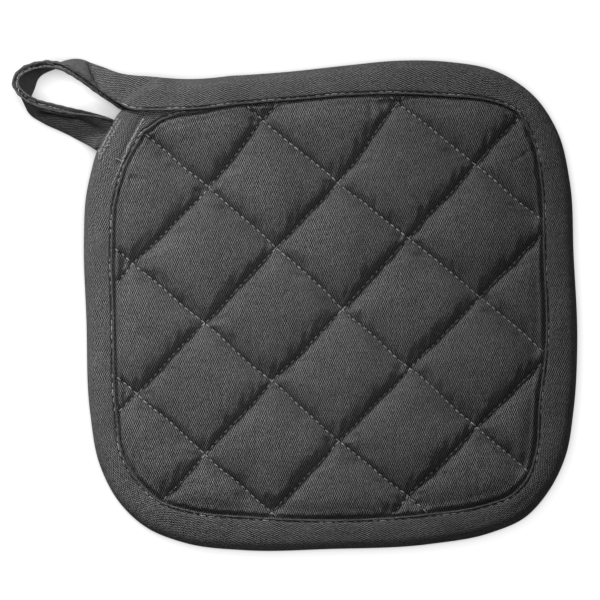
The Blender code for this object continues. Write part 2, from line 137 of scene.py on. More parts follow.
# The same strip past that point. Each row is one cut: the folded edge, the open edge where the two
# sides are sewn together, the space between the sides at the fold and at the open edge, how far in
# from the fold the pad's edge lies between them, and how far the strip bows out towards its front.
Cut = namedtuple("Cut", "fold_x fold_y fold_z open_x open_y open_z gap_fold gap_open pad_edge bow")
LOOP_CUTS = (
    # over the strip's own start, along the top edge
    Cut(-39.5, 93.4, 4.1, -38.8, 81.2, 4.1, 5.4, 5.4, -1.0, 0.0),
    Cut(-43.0, 93.0, 4.4, -42.6, 80.6, 4.4, 6.8, 6.8, -1.0, 0.0),
    Cut(-51.0, 92.2, 4.7, -51.0, 79.6, 4.7, 6.9, 6.9, -1.0, 0.0),
    Cut(-59.0, 92.0, 5.0, -59.0, 79.0, 5.0, 6.9, 6.9, -1.0, 0.0),
    # the pad's corner turns away from between the two sides
    Cut(-66.0, 92.4, 4.9, -66.0, 78.8, 5.2, 3.0, 7.0, 3.3, 0.0),
    Cut(-73.0, 93.0, 4.4, -73.0, 78.5, 5.4, 0.8, 7.2, 6.0, 0.0),
    Cut(-80.0, 93.5, 3.5, -79.8, 78.5, 5.5, 0.3, 7.2, 10.3, 0.0),
    Cut(-83.7, 94.0, 2.9, -83.5, 79.6, 5.6, 0.3, 6.0, 13.3, 0.0),
    # the sides close and the strip turns up on its fold, with one crease across it
    Cut(-87.5, 95.0, 2.2, -87.0, 81.7, 7.0, 0.3, 2.2, 13.5, 0.4),
    Cut(-91.3, 96.5, 1.5, -91.0, 84.5, 9.3, 0.3, 0.4, 13.0, -0.4),
    Cut(-95.5, 97.8, 0.9, -95.3, 87.6, 11.4, 0.3, 0.3, 0.0, -1.5),
    Cut(-99.5, 99.2, 0.3, -99.0, 90.5, 12.9, 0.3, 0.3, 0.0, 0.8),
    Cut(-103.5, 99.8, 0.1, -103.0, 93.2, 13.9, 0.3, 0.3, 0.0, 0.4),
    Cut(-107.0, 99.2, 0.0, -106.7, 95.5, 14.8, 0.3, 0.3, 0.0, 0.0),
    # round the far end, where it leans outwards
    Cut(-110.3, 97.6, 0.0, -110.0, 97.0, 15.3, 0.3, 0.3, 0.0, 0.0),
    Cut(-113.5, 96.2, 0.0, -113.5, 97.6, 15.3, 0.3, 0.3, 0.0, 0.0),
    Cut(-116.5, 94.8, 0.0, -117.3, 97.5, 15.0, 0.3, 0.3, 0.0, 0.0),
    Cut(-118.3, 93.3, 0.0, -121.3, 96.7, 14.6, 0.3, 0.3, 0.0, 0.0),
    Cut(-119.2, 91.8, 0.0, -125.0, 95.0, 13.9, 0.3, 0.3, 0.0, 0.2),
    Cut(-119.8, 90.0, 0.0, -127.6, 92.3, 13.2, 0.3, 0.3, 0.0, 0.3),
    Cut(-120.5, 87.8, 0.0, -127.6, 89.3, 13.5, 0.3, 0.3, 0.0, 0.5),
    Cut(-121.7, 85.2, 0.0, -125.6, 86.5, 14.6, 0.3, 0.3, 0.0, 0.8),
    Cut(-122.9, 82.2, 0.0, -122.9, 84.2, 15.2, 0.3, 0.3, 0.0, 0.8),
    Cut(-122.6, 79.2, 0.0, -119.8, 82.5, 14.7, 0.3, 0.3, 0.0, 0.4),
    # back along the lower side, leaning in, with a hollow before the seam
    Cut(-119.8, 76.2, 0.0, -116.5, 81.6, 14.0, 0.3, 0.3, 0.0, 0.0),
    Cut(-116.0, 74.0, 0.0, -113.0, 80.8, 13.5, 0.3, 0.3, 0.0, 0.0),
    Cut(-111.0, 71.7, 0.0, -109.3, 79.9, 12.9, 0.3, 0.3, 0.0, -0.3),
    Cut(-106.3, 69.4, 0.1, -104.8, 79.0, 11.8, 0.3, 0.3, 0.0, -0.8),
    Cut(-102.0, 67.0, 0.3, -100.0, 78.3, 9.8, 0.3, 0.3, 0.0, -1.5),
    Cut(-98.3, 65.0, 0.7, -94.5, 77.3, 5.8, 0.3, 0.3, 0.0, -1.0),
    # flat under the corner, where it is sewn
    Cut(-95.0, 63.0, 1.05, -88.5, 75.8, 1.6, 0.3, 0.3, 0.0, 0.0),
    Cut(-92.0, 61.2, 1.05, -84.6, 73.8, 1.05, 0.3, 0.3, 0.0, 0.0),
    Cut(-89.5, 59.6, 1.05, -82.0, 72.2, 1.05, 0.3, 0.3, 0.0, 0.0),
)

GAP_FOLD, GAP_OPEN, PAD_EDGE, BOW, WIDTH = range(6, 11)  # columns of a cut, its width added last

# Where the strip's front rises and dips across its width: part of the width, height.
FRONT_ACROSS = (0.0, 0.3, 0.72, 0.88, 1.0)
FRONT_RELIEF = (0.0, 0.5, 0.62, 0.5, 0.3)
FRONT_WAVE = 0.35  # how uneven that relief is along the strip
RELIEF_STEP = 7.6  # length of the strip that one step of that unevenness takes
EDGE_STITCH_INSET = 1.15  # from the strip's open edge to its line of stitches

# Quilting lines cross on a slanted grid: the middle crossing, the step to the next rising line and
# the step to the next falling line, and how far the sewing strayed at each crossing.
MIDDLE_CROSSING = np.array((4.0, -1.5))
NEXT_RISING = np.array((28.0, -24.0))
NEXT_FALLING = np.array((-27.3, -29.3))
LINES = 5  # lines of each slant
MIDDLE_LINE = 3  # the line of each slant that meets the middle crossing
COUNT_ROUNDS = 12  # rounds in which a place's count of lines is found
SEAM_POINTS = 1200  # points that a seam is looked for at
STRAY = np.array((
    ((-3.0, 0.5), (-2.5, -0.5), (3.0, 1.0), (-0.5, -0.5), (-0.5, 0.0)),
    ((-3.0, 1.0), (0.0, -2.0), (2.5, 1.0), (0.0, -0.5), (0.0, 0.5)),
    ((0.5, 0.0), (0.5, -0.5), (1.5, 0.0), (-0.5, 0.0), (0.0, -0.5)),
    ((2.5, -1.0), (1.5, -0.5), (0.5, 0.0), (-1.0, -0.5), (-1.0, 0.0)),
    ((2.5, -0.5), (1.5, -0.5), (-0.5, 0.0), (-1.0, 1.5), (-1.0, 0.5)),
))
PAST_LINES = 2  # diamonds past the outer lines, as far as the pad's outline
SQUARE_HALF = 105.0  # no cloth lies further out than this
SEAM_STOP = 0.4  # seams are drawn to this near the strip's open edge
LINES_APART = (36.8, 40.0)  # between rising lines and between falling lines, square to them

# How a puff rises beside a rising and beside a falling seam: over the first width and then more
# softly over the second one, by how much over the first, and how full it is on the seam itself.
Wall = namedtuple("Wall", "near far near_part left")
RISING_WALL = Wall(0.9, 3.2, 0.38, 0.0)
FALLING_WALL = Wall(0.7, 4.3, 0.12, 0.13)
PUFF_CROWN = 0.12  # part of its height that comes from its round top
RIM_WALLS = (0.5, 2.2)  # it rises from under the strip over these widths
RIM_PARTS = (0.28, 0.42, 0.3)  # by these parts, and by the last over the whole of its reach
SEAM_SINK = 3.0  # the sewing pulls the front this far in
PUFF_SWELL = 1.3  # and the wadding swells this far above the plain form
LIP_DIP = 2.1  # the strip presses the front in beside its open edge
LIP_DIP_HALF = 0.6  # half width of that dip
RIM_TAPER = 1.0  # the pad thins out towards its own edge, inside the strip
SINK_WIDTH = 3.5  # starting this far in from the strip
PUFF_UNEVENNESS = 0.08  # how far one diamond is fuller or flatter than the next
PUFF_TURNS = (2.3, 1.7)  # and how that goes on from line to line of each slant
SEAM_CREASE = 0.9  # how sharp the cloth turns at a seam
FRONT_CELLS = 28  # cells of cloth along the side of a diamond, on the front
BACK_CELLS = 12  # and on the back
CELL_APART = 0.8  # no cell's corner this near to a row along the strip
SEAM_NIP = 0.8  # the needle draws a narrow groove this deep along a falling seam
SEAM_NIP_HALF = 0.35  # half width of that groove
THINNEST = 0.35  # the front stays this far above the back
THREAD_SHOWN = 0.66  # a stitch's thread shows over this part of its step
SHALLOW_DIVE = 0.7  # a stitch's ends go this many thicknesses into the cloth
DEEP_DIVE = 3.4  # and those of the quilting, which lie higher, this many
RISING_THREAD = 0.4  # the thread lies this far above the bottom of a rising seam
FALLING_THREAD = 0.85  # and of a falling one, which is deeper
EDGE_WANDER, QUILTING_WANDER = 0.06, 0.12  # how far stitches turn aside
EDGE_SEED, QUILTING_SEED = 5, 11
LEAST_STITCH = (0.86, 0.9, 0.85)  # stitches differ in length, breadth and height, from this
MOST_STITCH = (1.1, 1.1, 1.15)  # to this
THREAD_STEPS = 6  # points along a stitch, and flats round its thread
RAY_START = 60.0  # the cloth under a stitch is looked for from this far off
GRIPPED_ROW = 4.0  # row of points that the strip covers, this far out from the free cloth
FOLD_SPACING = 2.5  # points along the pad's outline
HELD_EDGE = 0.05  # cloth is held as far in from the strip as this
HELD_SEAM = 1e-3  # and this near a seam, as a part of a diamond

# Single creases (and ridges, with a depth below zero): ends, half width and depth.
Crease = namedtuple("Crease", "start end half depth")
PANEL_CREASES = (
    # a fan of three at the top, by the middle
    Crease((16.3, 84.8), (17.1, 77.0), 0.9, 1.0),
    Crease((20.3, 84.8), (22.6, 76.4), 0.8, 0.9),
    Crease((24.8, 84.0), (29.8, 77.6), 0.9, 1.0),
    # the upper right
    Crease((58.9, 57.1), (56.1, 53.0), 0.9, 0.8),
    Crease((80.0, 62.0), (74.5, 58.0), 0.9, 0.7),
    # steep ones at the lower right
    Crease((50.8, -66.9), (53.7, -79.5), 1.0, 0.45),
    Crease((56.1, -67.7), (58.5, -80.3), 0.9, 0.5),
    Crease((60.2, -68.9), (61.0, -77.0), 0.9, 0.35),
    # by the loop's corner, and a dent below it
    Crease((-70.7, 72.6), (-71.1, 67.7), 0.6, 1.0),
    Crease((-84.0, 51.8), (-77.0, 50.9), 1.6, 1.3),
    Crease((-80.0, 49.0), (-76.5, 47.5), 1.0, 0.6),
    # soft ones inside the diamonds
    Crease((-58.0, 31.0), (-49.0, 24.0), 2.2, 0.5),
    Crease((38.0, -28.0), (44.0, -37.0), 2.4, 0.5),
    Crease((-30.0, -52.0), (-24.0, -60.0), 2.0, 0.5),
)
CREASE_EDGE = 2.0  # a crease of the strip fades out this near to its fold and open edge
STRIP_CREASES = (
    # the loop's upper run: a sharp crease across it and a hollow before it
    Crease((-97.2, 98.0), (-91.6, 86.0), 1.1, 1.8),
    Crease((-92.5, 92.5), (-88.5, 86.0), 2.2, 1.3),
    Crease((-99.8, 96.5), (-95.5, 88.5), 1.4, -0.8),
    Crease((-76.5, 89.5), (-73.5, 84.5), 1.6, 0.6),
    # its lower run: a long hollow and a pocket at the seam
    Crease((-117.5, 76.4), (-105.0, 74.0), 1.6, 2.6),
    Crease((-115.5, 79.8), (-103.5, 77.4), 1.2, -1.1),
    Crease((-102.5, 73.6), (-93.5, 70.2), 2.0, 3.3),
    # the sewn ridge at the corner and the line beside it
    Crease((-85.4, 76.9), (-93.6, 61.6), 1.1, -0.7),
    Crease((-83.2, 75.0), (-91.2, 60.4), 0.9, 0.7),
    Crease((-77.2, 75.3), (-85.9, 57.2), 0.9, 0.8),
)

# Stuffing the front, as a cloth simulation.
SIMULATION_QUALITY = 5
STUFFING_STEPS = 24
CLOTH_MASS = 0.1
CLOTH_STRETCH = 15.0
CLOTH_SHEAR = 5.0
CREASE_START = 0.006  # unevenness that lets the cloth find its creases
MOST_STUFFING = 3.0  # no point moves further than this
WADDING_HOLD = 0.6  # how far the wadding keeps the cloth from bulging, against a sewn point

# Puckers beside the seams.
PUCKER_LENGTH = 4.8  # along the seam, from one to the next
PUCKER_REACH = 2.7  # from the seam to the middle of one
PUCKER_HALF = 1.7  # half width, away from the seam
PUCKER_SLANT = 1.1  # how far one leans along the seam
PUCKER_SIDES = 3.7  # keeps the puckers of one side unlike the other's
PUCKER_CONTRAST = 2.5  # how soon one reaches its full depth
PUCKER_BULGE = 0.4  # between two, the cloth stands up by this part of it
UNEVEN_SIZE = 13.0  # the wadding's own unevenness
UNEVEN_PART = 0.4  # and how much finer unevenness comes on top
UNEVEN_FINER = 2.5  # this many times finer
WOBBLE = 0.8  # how far the sewing strays from a straight line
WOBBLE_SIZE = 14.0  # over about this length
WOBBLE_START = 8.0  # and all of it only this far in from the strip

# Folded strip.
STRIP_SPACING = 1.0  # between one cut and the next
# Points across the strip near its open edge, by how far in from it they lie.
NEAR_LIP = (3.4, 2.6, 2.05, 1.75, 1.5, 1.35, 1.25, 1.15, 1.0, 0.85, 0.7, 0.45)
FOLD_SQUEEZE = 0.8  # the space inside narrows to this part at the fold
BROAD_STEPS = 8  # steps across the rest of its width
FOLD_STEPS = 12  # flats round the outside of its fold
LIP_STEPS = 6  # and round each open edge
INNER_STEPS = 5  # and across the inner face of each side
FOLD_POINT = BROAD_STEPS - 1 + len(NEAR_LIP) + FOLD_STEPS // 2  # the fold's point of a cut
GROOVE_HALF = 0.36  # half width of the groove that the stitches draw in
HEM_RIDGE = 0.3  # the hem stands up by this part of the groove's depth
HEM_RIDGE_INSET = 0.55  # this far in from the open edge
HEM_RIDGE_HALF = 0.35  # half width of that ridge
BACK_GROOVE_PART = 0.5  # depth of the groove on the back, against the front's
STITCH_PINCH = 0.8  # how much deeper the groove is where the needle went through
LAP_CURL = 0.7  # the edge that laps over the corner curls up by this
LAP_CURL_WIDTH = 3.0  # over this width
LAP_GAP = 5.4  # where the two open edges stand further apart than this
LAP_GAP_RANGE = 1.2  # and fully where they stand this much further apart
LIP_OPENING = 1.0  # the loop's two edges part by this
LIP_OPENING_WIDTH = 2.2  # over this width
CLOSED_GAP = 1.5  # sides nearer than this begin to count as closed
RELIEF_WAVES = ((1.9, 1.0), (0.7, 0.6))  # the waves in that: radians for each step, and height
FINE_DENTS = 0.5  # smaller dents come on top, this deep against the others
FINE_DENT_PART = 2.6  # and this many times shorter

# Stage: the floor is in mm, the rest in metres.
FLOOR_HALF = 2500.0
FLOOR_DROP = 0.05  # the floor lies this far under the cloth
FLOOR_COLOUR = (0.09, 0.09, 0.09, 1.0)
LAMP_SIZE = 0.3
# Name, place, the point it is turned to, and how widely it shines: both are turned to a point left
# of the middle, so that the light falls off to the right.
LAMPS = (
    ("overhead", (0.0, 0.17, 1.0), (-0.126, 0.0, 0.0), math.radians(36.5)),
    ("upper", (-0.47, 0.67, 0.574), (-0.10, 0.02, 0.0), math.radians(40)),
)
PAINTED_CONTACT_SHADE = 0.009  # painted contact shade: the floor's glow is dimmed by ambient occlusion this near to the cloth
CAMERA_HEIGHT = 3.0
PICTURE_WIDTH = 0.2439
PICTURE_MIDDLE = (0.0018, 0.0019)

# Rows of sewing at the corner, by the points they pass, the step and length of a stitch, its
# thickness against the other thread's, how far it turns aside and the seed of those turns.
SewnRow = namedtuple("SewnRow", "points spacing length thickness wander seed")
SEWN_ROWS = (
    SewnRow(((-85.9, 76.2), (-90.0, 69.0), (-93.9, 61.5)), 1.5, 1.5, 1.9, 0.8, 23),
    SewnRow(((-84.8, 75.4), (-88.8, 68.3), (-92.8, 60.9)), 1.6, 1.5, 1.7, 0.8, 24),
    SewnRow(((-75.6, 75.8), (-78.3, 70.7), (-80.9, 66.1), (-84.4, 57.6)), 2.0, 2.0, 2.0, 0.3, 25),
    SewnRow(((-77.6, 72.0), (-79.9, 68.1), (-82.3, 63.3)), 1.7, 1.5, 2.0, 0.5, 26),
    SewnRow(((-84.4, 57.6), (-85.8, 54.4), (-88.6, 48.6)), 2.2, 1.8, 1.2, 0.25, 27),
)
# Loose ends of thread: places, and height above the cloth.
LOOSE_ENDS = (
    (
        (-93.3, 61.8, 0.2), (-94.2, 60.2, 0.9), (-93.4, 59.1, 0.9),
        (-92.6, 60.2, 0.6), (-93.0, 61.6, 0.2),
    ),
    ((-84.0, 58.4, 0.2), (-85.0, 58.7, 0.9), (-86.2, 59.4, 1.1), (-86.9, 59.5, 0.8)),
)
LOOSE_THREAD = 1.2  # their thickness against the other thread's


def ease(value):
    """Go smoothly from 0 to 1 as the value does."""
    value = np.clip(value, 0.0, 1.0)
    return value * value * (3.0 - 2.0 * value)


def bump(away, half):
    """A smooth bump: 1 at no distance, and falling off with that half width."""
    return np.exp(-((away / half) ** 2))


def unit(vectors):
    """Each vector at length 1."""
    return vectors / np.linalg.norm(vectors, axis=-1, keepdims=True)


def lift(places):
    """Height of the raised corner's underside above the table."""
    distance = np.linalg.norm(places[..., :2] - np.array(LIFTED_CORNER), axis=-1)
    return np.interp(distance, LIFT_DISTANCE, LIFT_HEIGHT)


def distance_along(points):
    """How far along a path each of its points lies."""
    steps = np.linalg.norm(np.diff(points, axis=0), axis=1)
    return np.concatenate(((0.0,), np.cumsum(steps)))


def smooth_rows(rows, spacing):
    """Rows read about every spacing from a smooth curve through the given rows."""
    rows = np.array(rows, float)
    steps = np.linalg.norm(np.diff(rows[:, :2], axis=0), axis=1)
    along = np.concatenate(((0.0,), np.cumsum(steps)))
    slope = np.gradient(rows, along, axis=0)
    result = []
    for index, step in enumerate(steps):
        count = max(1, round(step / spacing))
        for part in np.arange(count) / count:
            square, cube = part**2, part**3
            result.append(
                (2 * cube - 3 * square + 1) * rows[index]
                + (cube - 2 * square + part) * step * slope[index]
                + (3 * square - 2 * cube) * rows[index + 1]
                + (cube - square) * step * slope[index + 1]
            )
    result.append(rows[-1])
    return np.array(result)


def even_path(points, spacing):
    """Points at even steps of about spacing along a path, the middle of each step."""
    points = np.array(points, float)
    along = distance_along(points)
    count = max(2, round(along[-1] / spacing))
    wanted = (np.arange(count) + 0.5) * along[-1] / count
    return np.column_stack([np.interp(wanted, along, column) for column in points.T])


def uneven(points, size, seed):
    """Smooth uneven values, about -1 to 1, that change over about that size."""
    away = Vector((seed * 17.31, seed * -5.17, seed * 11.73))
    return np.array([noise.noise(Vector(point) / size + away) for point in points])


def bound_edge(spacing):
    """Fold line of the strip round the square, the way in from it and the strip's width."""
    rows = smooth_rows(BOUND_EDGE, spacing)
    fold = rows[:, :2]
    run = unit(np.gradient(fold, axis=0))
    inwards = np.stack((-run[:, 1], run[:, 0]), axis=1)
    return fold, inwards, rows[:, 2]


def crossing(rising, falling):
    """Place of points of the quilting, counted in lines of each slant."""
    rising, falling = np.asarray(rising, float), np.asarray(falling, float)
    even = (
        MIDDLE_CROSSING
        + (rising - MIDDLE_LINE)[..., None] * NEXT_RISING
        + (falling - MIDDLE_LINE)[..., None] * NEXT_FALLING
    )
    row = np.clip(rising - 1, 0.0, LINES - 1.0)
    column = np.clip(falling - 1, 0.0, LINES - 1.0)
    low_row = np.minimum(row.astype(int), LINES - 2)
    low_column = np.minimum(column.astype(int), LINES - 2)
    row_part = (row - low_row)[..., None]
    column_part = (column - low_column)[..., None]
    first = STRAY[low_row, low_column] * (1 - row_part) + STRAY[low_row + 1, low_column] * row_part
    second = (
        STRAY[low_row, low_column + 1] * (1 - row_part)
        + STRAY[low_row + 1, low_column + 1] * row_part
    )
    return even + first * (1 - column_part) + second * column_part


def lines_at(places):
    """Counts of rising and of falling lines at places: crossing() the other way round."""
    steps = np.linalg.inv(np.column_stack((NEXT_RISING, NEXT_FALLING)))
    counts = np.full(places.shape, float(MIDDLE_LINE))
    for _ in range(COUNT_ROUNDS):
        counts = counts + (places - crossing(counts[:, 0], counts[:, 1])) @ steps.T
    return counts


def seam_distance(count):
    """How far a count of lines is from the nearest line, from 0 on it to 0.5 half way."""
    nearest = np.clip(np.round(count), 1, LINES)
    return np.minimum(np.abs(count - nearest), 0.5)


def inside_binding(places, fold, width):
    """How far places lie in from the strip's open edge, and below zero under the strip."""
    span = np.roll(fold, -1, axis=0) - fold
    square = np.sum(span * span, axis=1)
    result = []
    for place in places:
        part = np.clip(np.sum((place - fold) * span, axis=1) / square, 0.0, 1.0)
        away = place - fold - span * part[:, None]
        distance = np.linalg.norm(away, axis=1)
        nearest = int(np.argmin(distance))
        leftwards = span[nearest][0] * away[nearest][1] - span[nearest][1] * away[nearest][0]
        following = (nearest + 1) % len(width)
        local = width[nearest] + (width[following] - width[nearest]) * part[nearest]
        result.append(math.copysign(distance[nearest], leftwards) - local - LIP_SLACK)
    return np.array(result)


def gripped_base(places, inside):
    """Height of the pad's underside where the strip grips it."""
    return lift(places) * (1 - ease(inside / LIFT_FADE)) + STRIP_WALL + FIT


def seam_height(places, inside):
    """Height of the front of the pad where it isn't puffed up."""
    sink = SEAM_SINK * ease(inside / SINK_WIDTH)
    return gripped_base(places, inside) + RIM_THICKNESS + SEAM_RISE * rim_rise(inside) - sink


def risen(distance, wall):
    """How far a puff has risen at a distance from a seam, from 0 to 1."""
    near, far = (1 - np.exp(-distance / width) for width in (wall.near, wall.far))
    return wall.left + (1 - wall.left) * (wall.near_part * near + (1 - wall.near_part) * far)


def rim_rise(inside):
    """How far a puff has risen from under the strip, from 0 to 1."""
    inside = np.maximum(inside, 0.0)
    crown = np.sin(math.pi / 2 * np.minimum(inside / PUFF_REACH, 1.0))
    near, far = (1 - np.exp(-inside / width) for width in RIM_WALLS)
    return np.tensordot(RIM_PARTS, (near, far, crown), axes=1)


def back_height(places, inside, counts):
    """Height of the underside of the pad."""
    nearest = np.minimum(seam_distance(counts[:, 0]), seam_distance(counts[:, 1]))
    valley = BACK_VALLEY * (1 - ease(nearest / BACK_VALLEY_HALF))
    drop = ease(inside / RIM_DROP)
    return gripped_base(places, inside) * (1 - drop) + valley * drop


def paint_seam_shade(mesh, away):
    """Keep painted seam shade, 1 on a seam and less further off, as the groove attribute."""
    groove = mesh.attributes.new("groove", "FLOAT", "POINT")
    groove.data.foreach_set("value", bump(np.ravel(away), PAINTED_SEAM_SHADE_HALF))


def creased(places, creases):
    """How deep the single creases are at places."""
    depth = np.zeros(len(places))
    for crease in creases:
        start, span = np.array(crease.start), np.subtract(crease.end, crease.start)
        part = np.clip((places[:, :2] - start) @ span / (span @ span), 0.0, 1.0)
        away = np.linalg.norm(places[:, :2] - start - part[:, None] * span, axis=1)
        depth += crease.depth * bump(away, crease.half)
    return depth


def wobbled(places, inside):
    """Places of the panel after the small strays of the sewing, which fade out at the strip."""
    points = np.column_stack((places[:, :2], np.zeros(len(places))))
    aside = np.column_stack([uneven(points, WOBBLE_SIZE, seed) for seed in (21, 22)])
    moved = places.copy()
    moved[:, :2] += WOBBLE * aside * ease(inside / WOBBLE_START)[:, None]
    return moved


def in_frame(points):
    """Points in metres in the model's frame, from mm about the square's middle."""
    return (np.asarray(points) + np.array((*SQUARE_MIDDLE, 0.0))) * MM


def new_mesh(name, points, faces):
    """A mesh from points in mm about the square's middle."""
    mesh = bpy.data.meshes.new(name)
    mesh.from_pydata(in_frame(points).tolist(), [], [list(map(int, face)) for face in faces])
    mesh.update()
    return mesh


def show(name, mesh):
    """A new object in the scene, at the origin."""
    piece = bpy.data.objects.new(name, mesh)
    bpy.context.scene.collection.objects.link(piece)
    return piece


def mesh_places(mesh):
    """A mesh's points in mm about the square's middle."""
    flat = np.empty(len(mesh.vertices) * 3)
    mesh.vertices.foreach_get("co", flat)
    return flat.reshape(-1, 3) / MM - np.array((*SQUARE_MIDDLE, 0.0))


def place_points(mesh, places):
    """Put a mesh's points at places in mm about the square's middle."""
    mesh.vertices.foreach_set("co", in_frame(places).ravel())
    mesh.update()


def baked(piece):
    """A plain mesh of a piece as its modifiers leave it."""
    graph = bpy.context.evaluated_depsgraph_get()
    return bpy.data.meshes.new_from_object(piece.evaluated_get(graph))


# ---------------------------------------------------------------------------------------------
# Shaders

TWILL_RELIEF = 0.14  # height of a float, in mm
PAINTED_SEAM_SHADE = 0.6  # painted shade: the cloth's colour is darkened by this part along seams and stitch lines
PAINTED_SEAM_SHADE_HALF = 0.32  # half width of that line, in mm

# How cloth is woven: rib spacing in mm, slant, how far the ribs cross and wander, and the contrast
# of the painted shade between ribs.
Weave = namedtuple("Weave", "spacing slant crossing wander contrast")
PAD_WEAVE = Weave(0.80, math.radians(-25), 0.7, 0.6, 2.1)
STRIP_WEAVE = Weave(0.72, math.radians(66), 0.75, 1.0, 1.9)
CROSSING_RIBS = 1.07  # spacing of the ribs that cross, against the first ones'
FLOAT_RANGE = 1.1  # the two slants together, from the lowest to the highest float
LEAST_TONE = 0.05  # no cloth is darker than this part of its colour

# Noise in the cloth, by its scale for each metre and its detail: the ribs' stray, and what the
# colour is multiplied by, which is the noise times one number plus another.
RIB_STRAY = (330.0, 2.0)
Patches = namedtuple("Patches", "scale detail times plus")
SLUBS = Patches(1000.0, 1.0, 1.6, 0.2)
FADED = Patches(60.0, 3.0, 0.6, 0.7)
FUZZ_SCALE = 900.0  # and the noise of the thread's fuzz
DARK_FUZZ, LIGHT_FUZZ = 0.45, 1.5  # its tones against the thread's colour


class Nodes:
    """Short way to add and join nodes of one tree."""

    def __init__(self, tree):
        self.tree = tree

    def add(self, kind, values=None, **settings):
        node = self.tree.nodes.new(kind)
        for name, value in settings.items():
            setattr(node, name, value)
        for socket, value in (values or {}).items():
            self.put(node.inputs[socket], value)
        return node

    def put(self, socket, value):
        if isinstance(value, bpy.types.NodeSocket):
            self.tree.links.new(value, socket)
        else:
            socket.default_value = value

    def math(self, operation, *values):
        node = self.add("ShaderNodeMath", operation=operation)
        for socket, value in zip(node.inputs, values):
            self.put(socket, value)
        return node.outputs[0]


def new_group(name, inputs, outputs):
    """An empty shader group with the given sockets: name, kind and default or None."""
    tree = bpy.data.node_groups.new(name, "ShaderNodeTree")
    for label, kind, default in inputs:
        socket = tree.interface.new_socket(label, in_out="INPUT", socket_type=kind)
        if default is not None:
            socket.default_value = default
    for label, kind in outputs:
        tree.interface.new_socket(label, in_out="OUTPUT", socket_type=kind)
    nodes = Nodes(tree)
    return tree, nodes, nodes.add("NodeGroupInput").outputs, nodes.add("NodeGroupOutput")


def twill_group():
    """Cotton twill: two slants of ribs that cross in short floats, with slubs and faded patches."""
    tree, nodes, given, result = new_group(
        "Cotton twill",
        (
            ("Place", "NodeSocketVector", None),
            ("Rib spacing", "NodeSocketFloat", 0.0009),
            ("Rib slant", "NodeSocketFloat", 0.0),
            ("Crossing", "NodeSocketFloat", 0.7),
            ("Wander", "NodeSocketFloat", 0.3),
            ("Thread", "NodeSocketColor", (0.05, 0.05, 0.05, 1.0)),
            ("Depth", "NodeSocketFloat", 1.0),
            # Groove: mask of painted shade along seams and stitch lines
            ("Groove", "NodeSocketFloat", 0.0),
        ),
        (("Colour", "NodeSocketColor"), ("Height", "NodeSocketFloat")),
    )

    def spots(scale, detail):
        values = {"Vector": given["Place"], "Scale": scale, "Detail": detail}
        return nodes.add("ShaderNodeTexNoise", values).outputs[0]

    stray = nodes.math("MULTIPLY", nodes.math("SUBTRACT", spots(*RIB_STRAY), 0.5), given["Wander"])

    def ribs(slant, stretch):
        turned = {"Vector": given["Place"], "Angle": slant}
        turn = nodes.add("ShaderNodeVectorRotate", turned, rotation_type="Z_AXIS")
        apart = nodes.add("ShaderNodeSeparateXYZ", {"Vector": turn.outputs[0]})
        spacing = nodes.math("MULTIPLY", given["Rib spacing"], stretch)
        count = nodes.math("ADD", nodes.math("DIVIDE", apart.outputs["X"], spacing), stray)
        return nodes.math("COSINE", nodes.math("MULTIPLY", count, 2 * math.pi))

    across = ribs(nodes.math("MULTIPLY", given["Rib slant"], -1.0), CROSSING_RIBS)
    floats = nodes.math("MULTIPLY_ADD", across, given["Crossing"], ribs(given["Rib slant"], 1.0))
    levels = {"Value": floats, "From Min": -FLOAT_RANGE, "From Max": FLOAT_RANGE}
    height = nodes.add("ShaderNodeMapRange", levels)
    height.interpolation_type = "SMOOTHSTEP"
    height = height.outputs["Result"]

    # painted shade of the rib relief: lower floats are darker, on top of the real bump from the
    # same height
    tone = nodes.math("MULTIPLY", nodes.math("SUBTRACT", height, 0.5), given["Depth"])
    tone = nodes.math("ADD", tone, 1.0)
    for scale, detail, times, plus in (SLUBS, FADED):
        part = nodes.math("MULTIPLY_ADD", spots(scale, detail), times, plus)
        tone = nodes.math("MULTIPLY", tone, part)
    # painted shade: the colour darkens where the Groove mask is high
    painted_shade_factor = nodes.math("MULTIPLY_ADD", given["Groove"], -PAINTED_SEAM_SHADE, 1.0)
    tone = nodes.math("MAXIMUM", nodes.math("MULTIPLY", tone, painted_shade_factor), LEAST_TONE)
    colour = nodes.add("ShaderNodeVectorMath", operation="SCALE")
    nodes.put(colour.inputs[0], given["Thread"])
    nodes.put(colour.inputs["Scale"], tone)
    nodes.put(result.inputs["Colour"], colour.outputs[0])
    nodes.put(result.inputs["Height"], height)
    return tree


def surface_material(name, roughness, sheen, sheen_roughness, specular):
    """A material with its shader's constants set."""
    material = bpy.data.materials.new(name)
    material.use_nodes = True
    shader = material.node_tree.nodes["Principled BSDF"]
    shader.inputs["Roughness"].default_value = roughness
    shader.inputs["Sheen Weight"].default_value = sheen
    shader.inputs["Sheen Roughness"].default_value = sheen_roughness
    shader.inputs["Specular IOR Level"].default_value = specular
    return material, Nodes(material.node_tree), shader


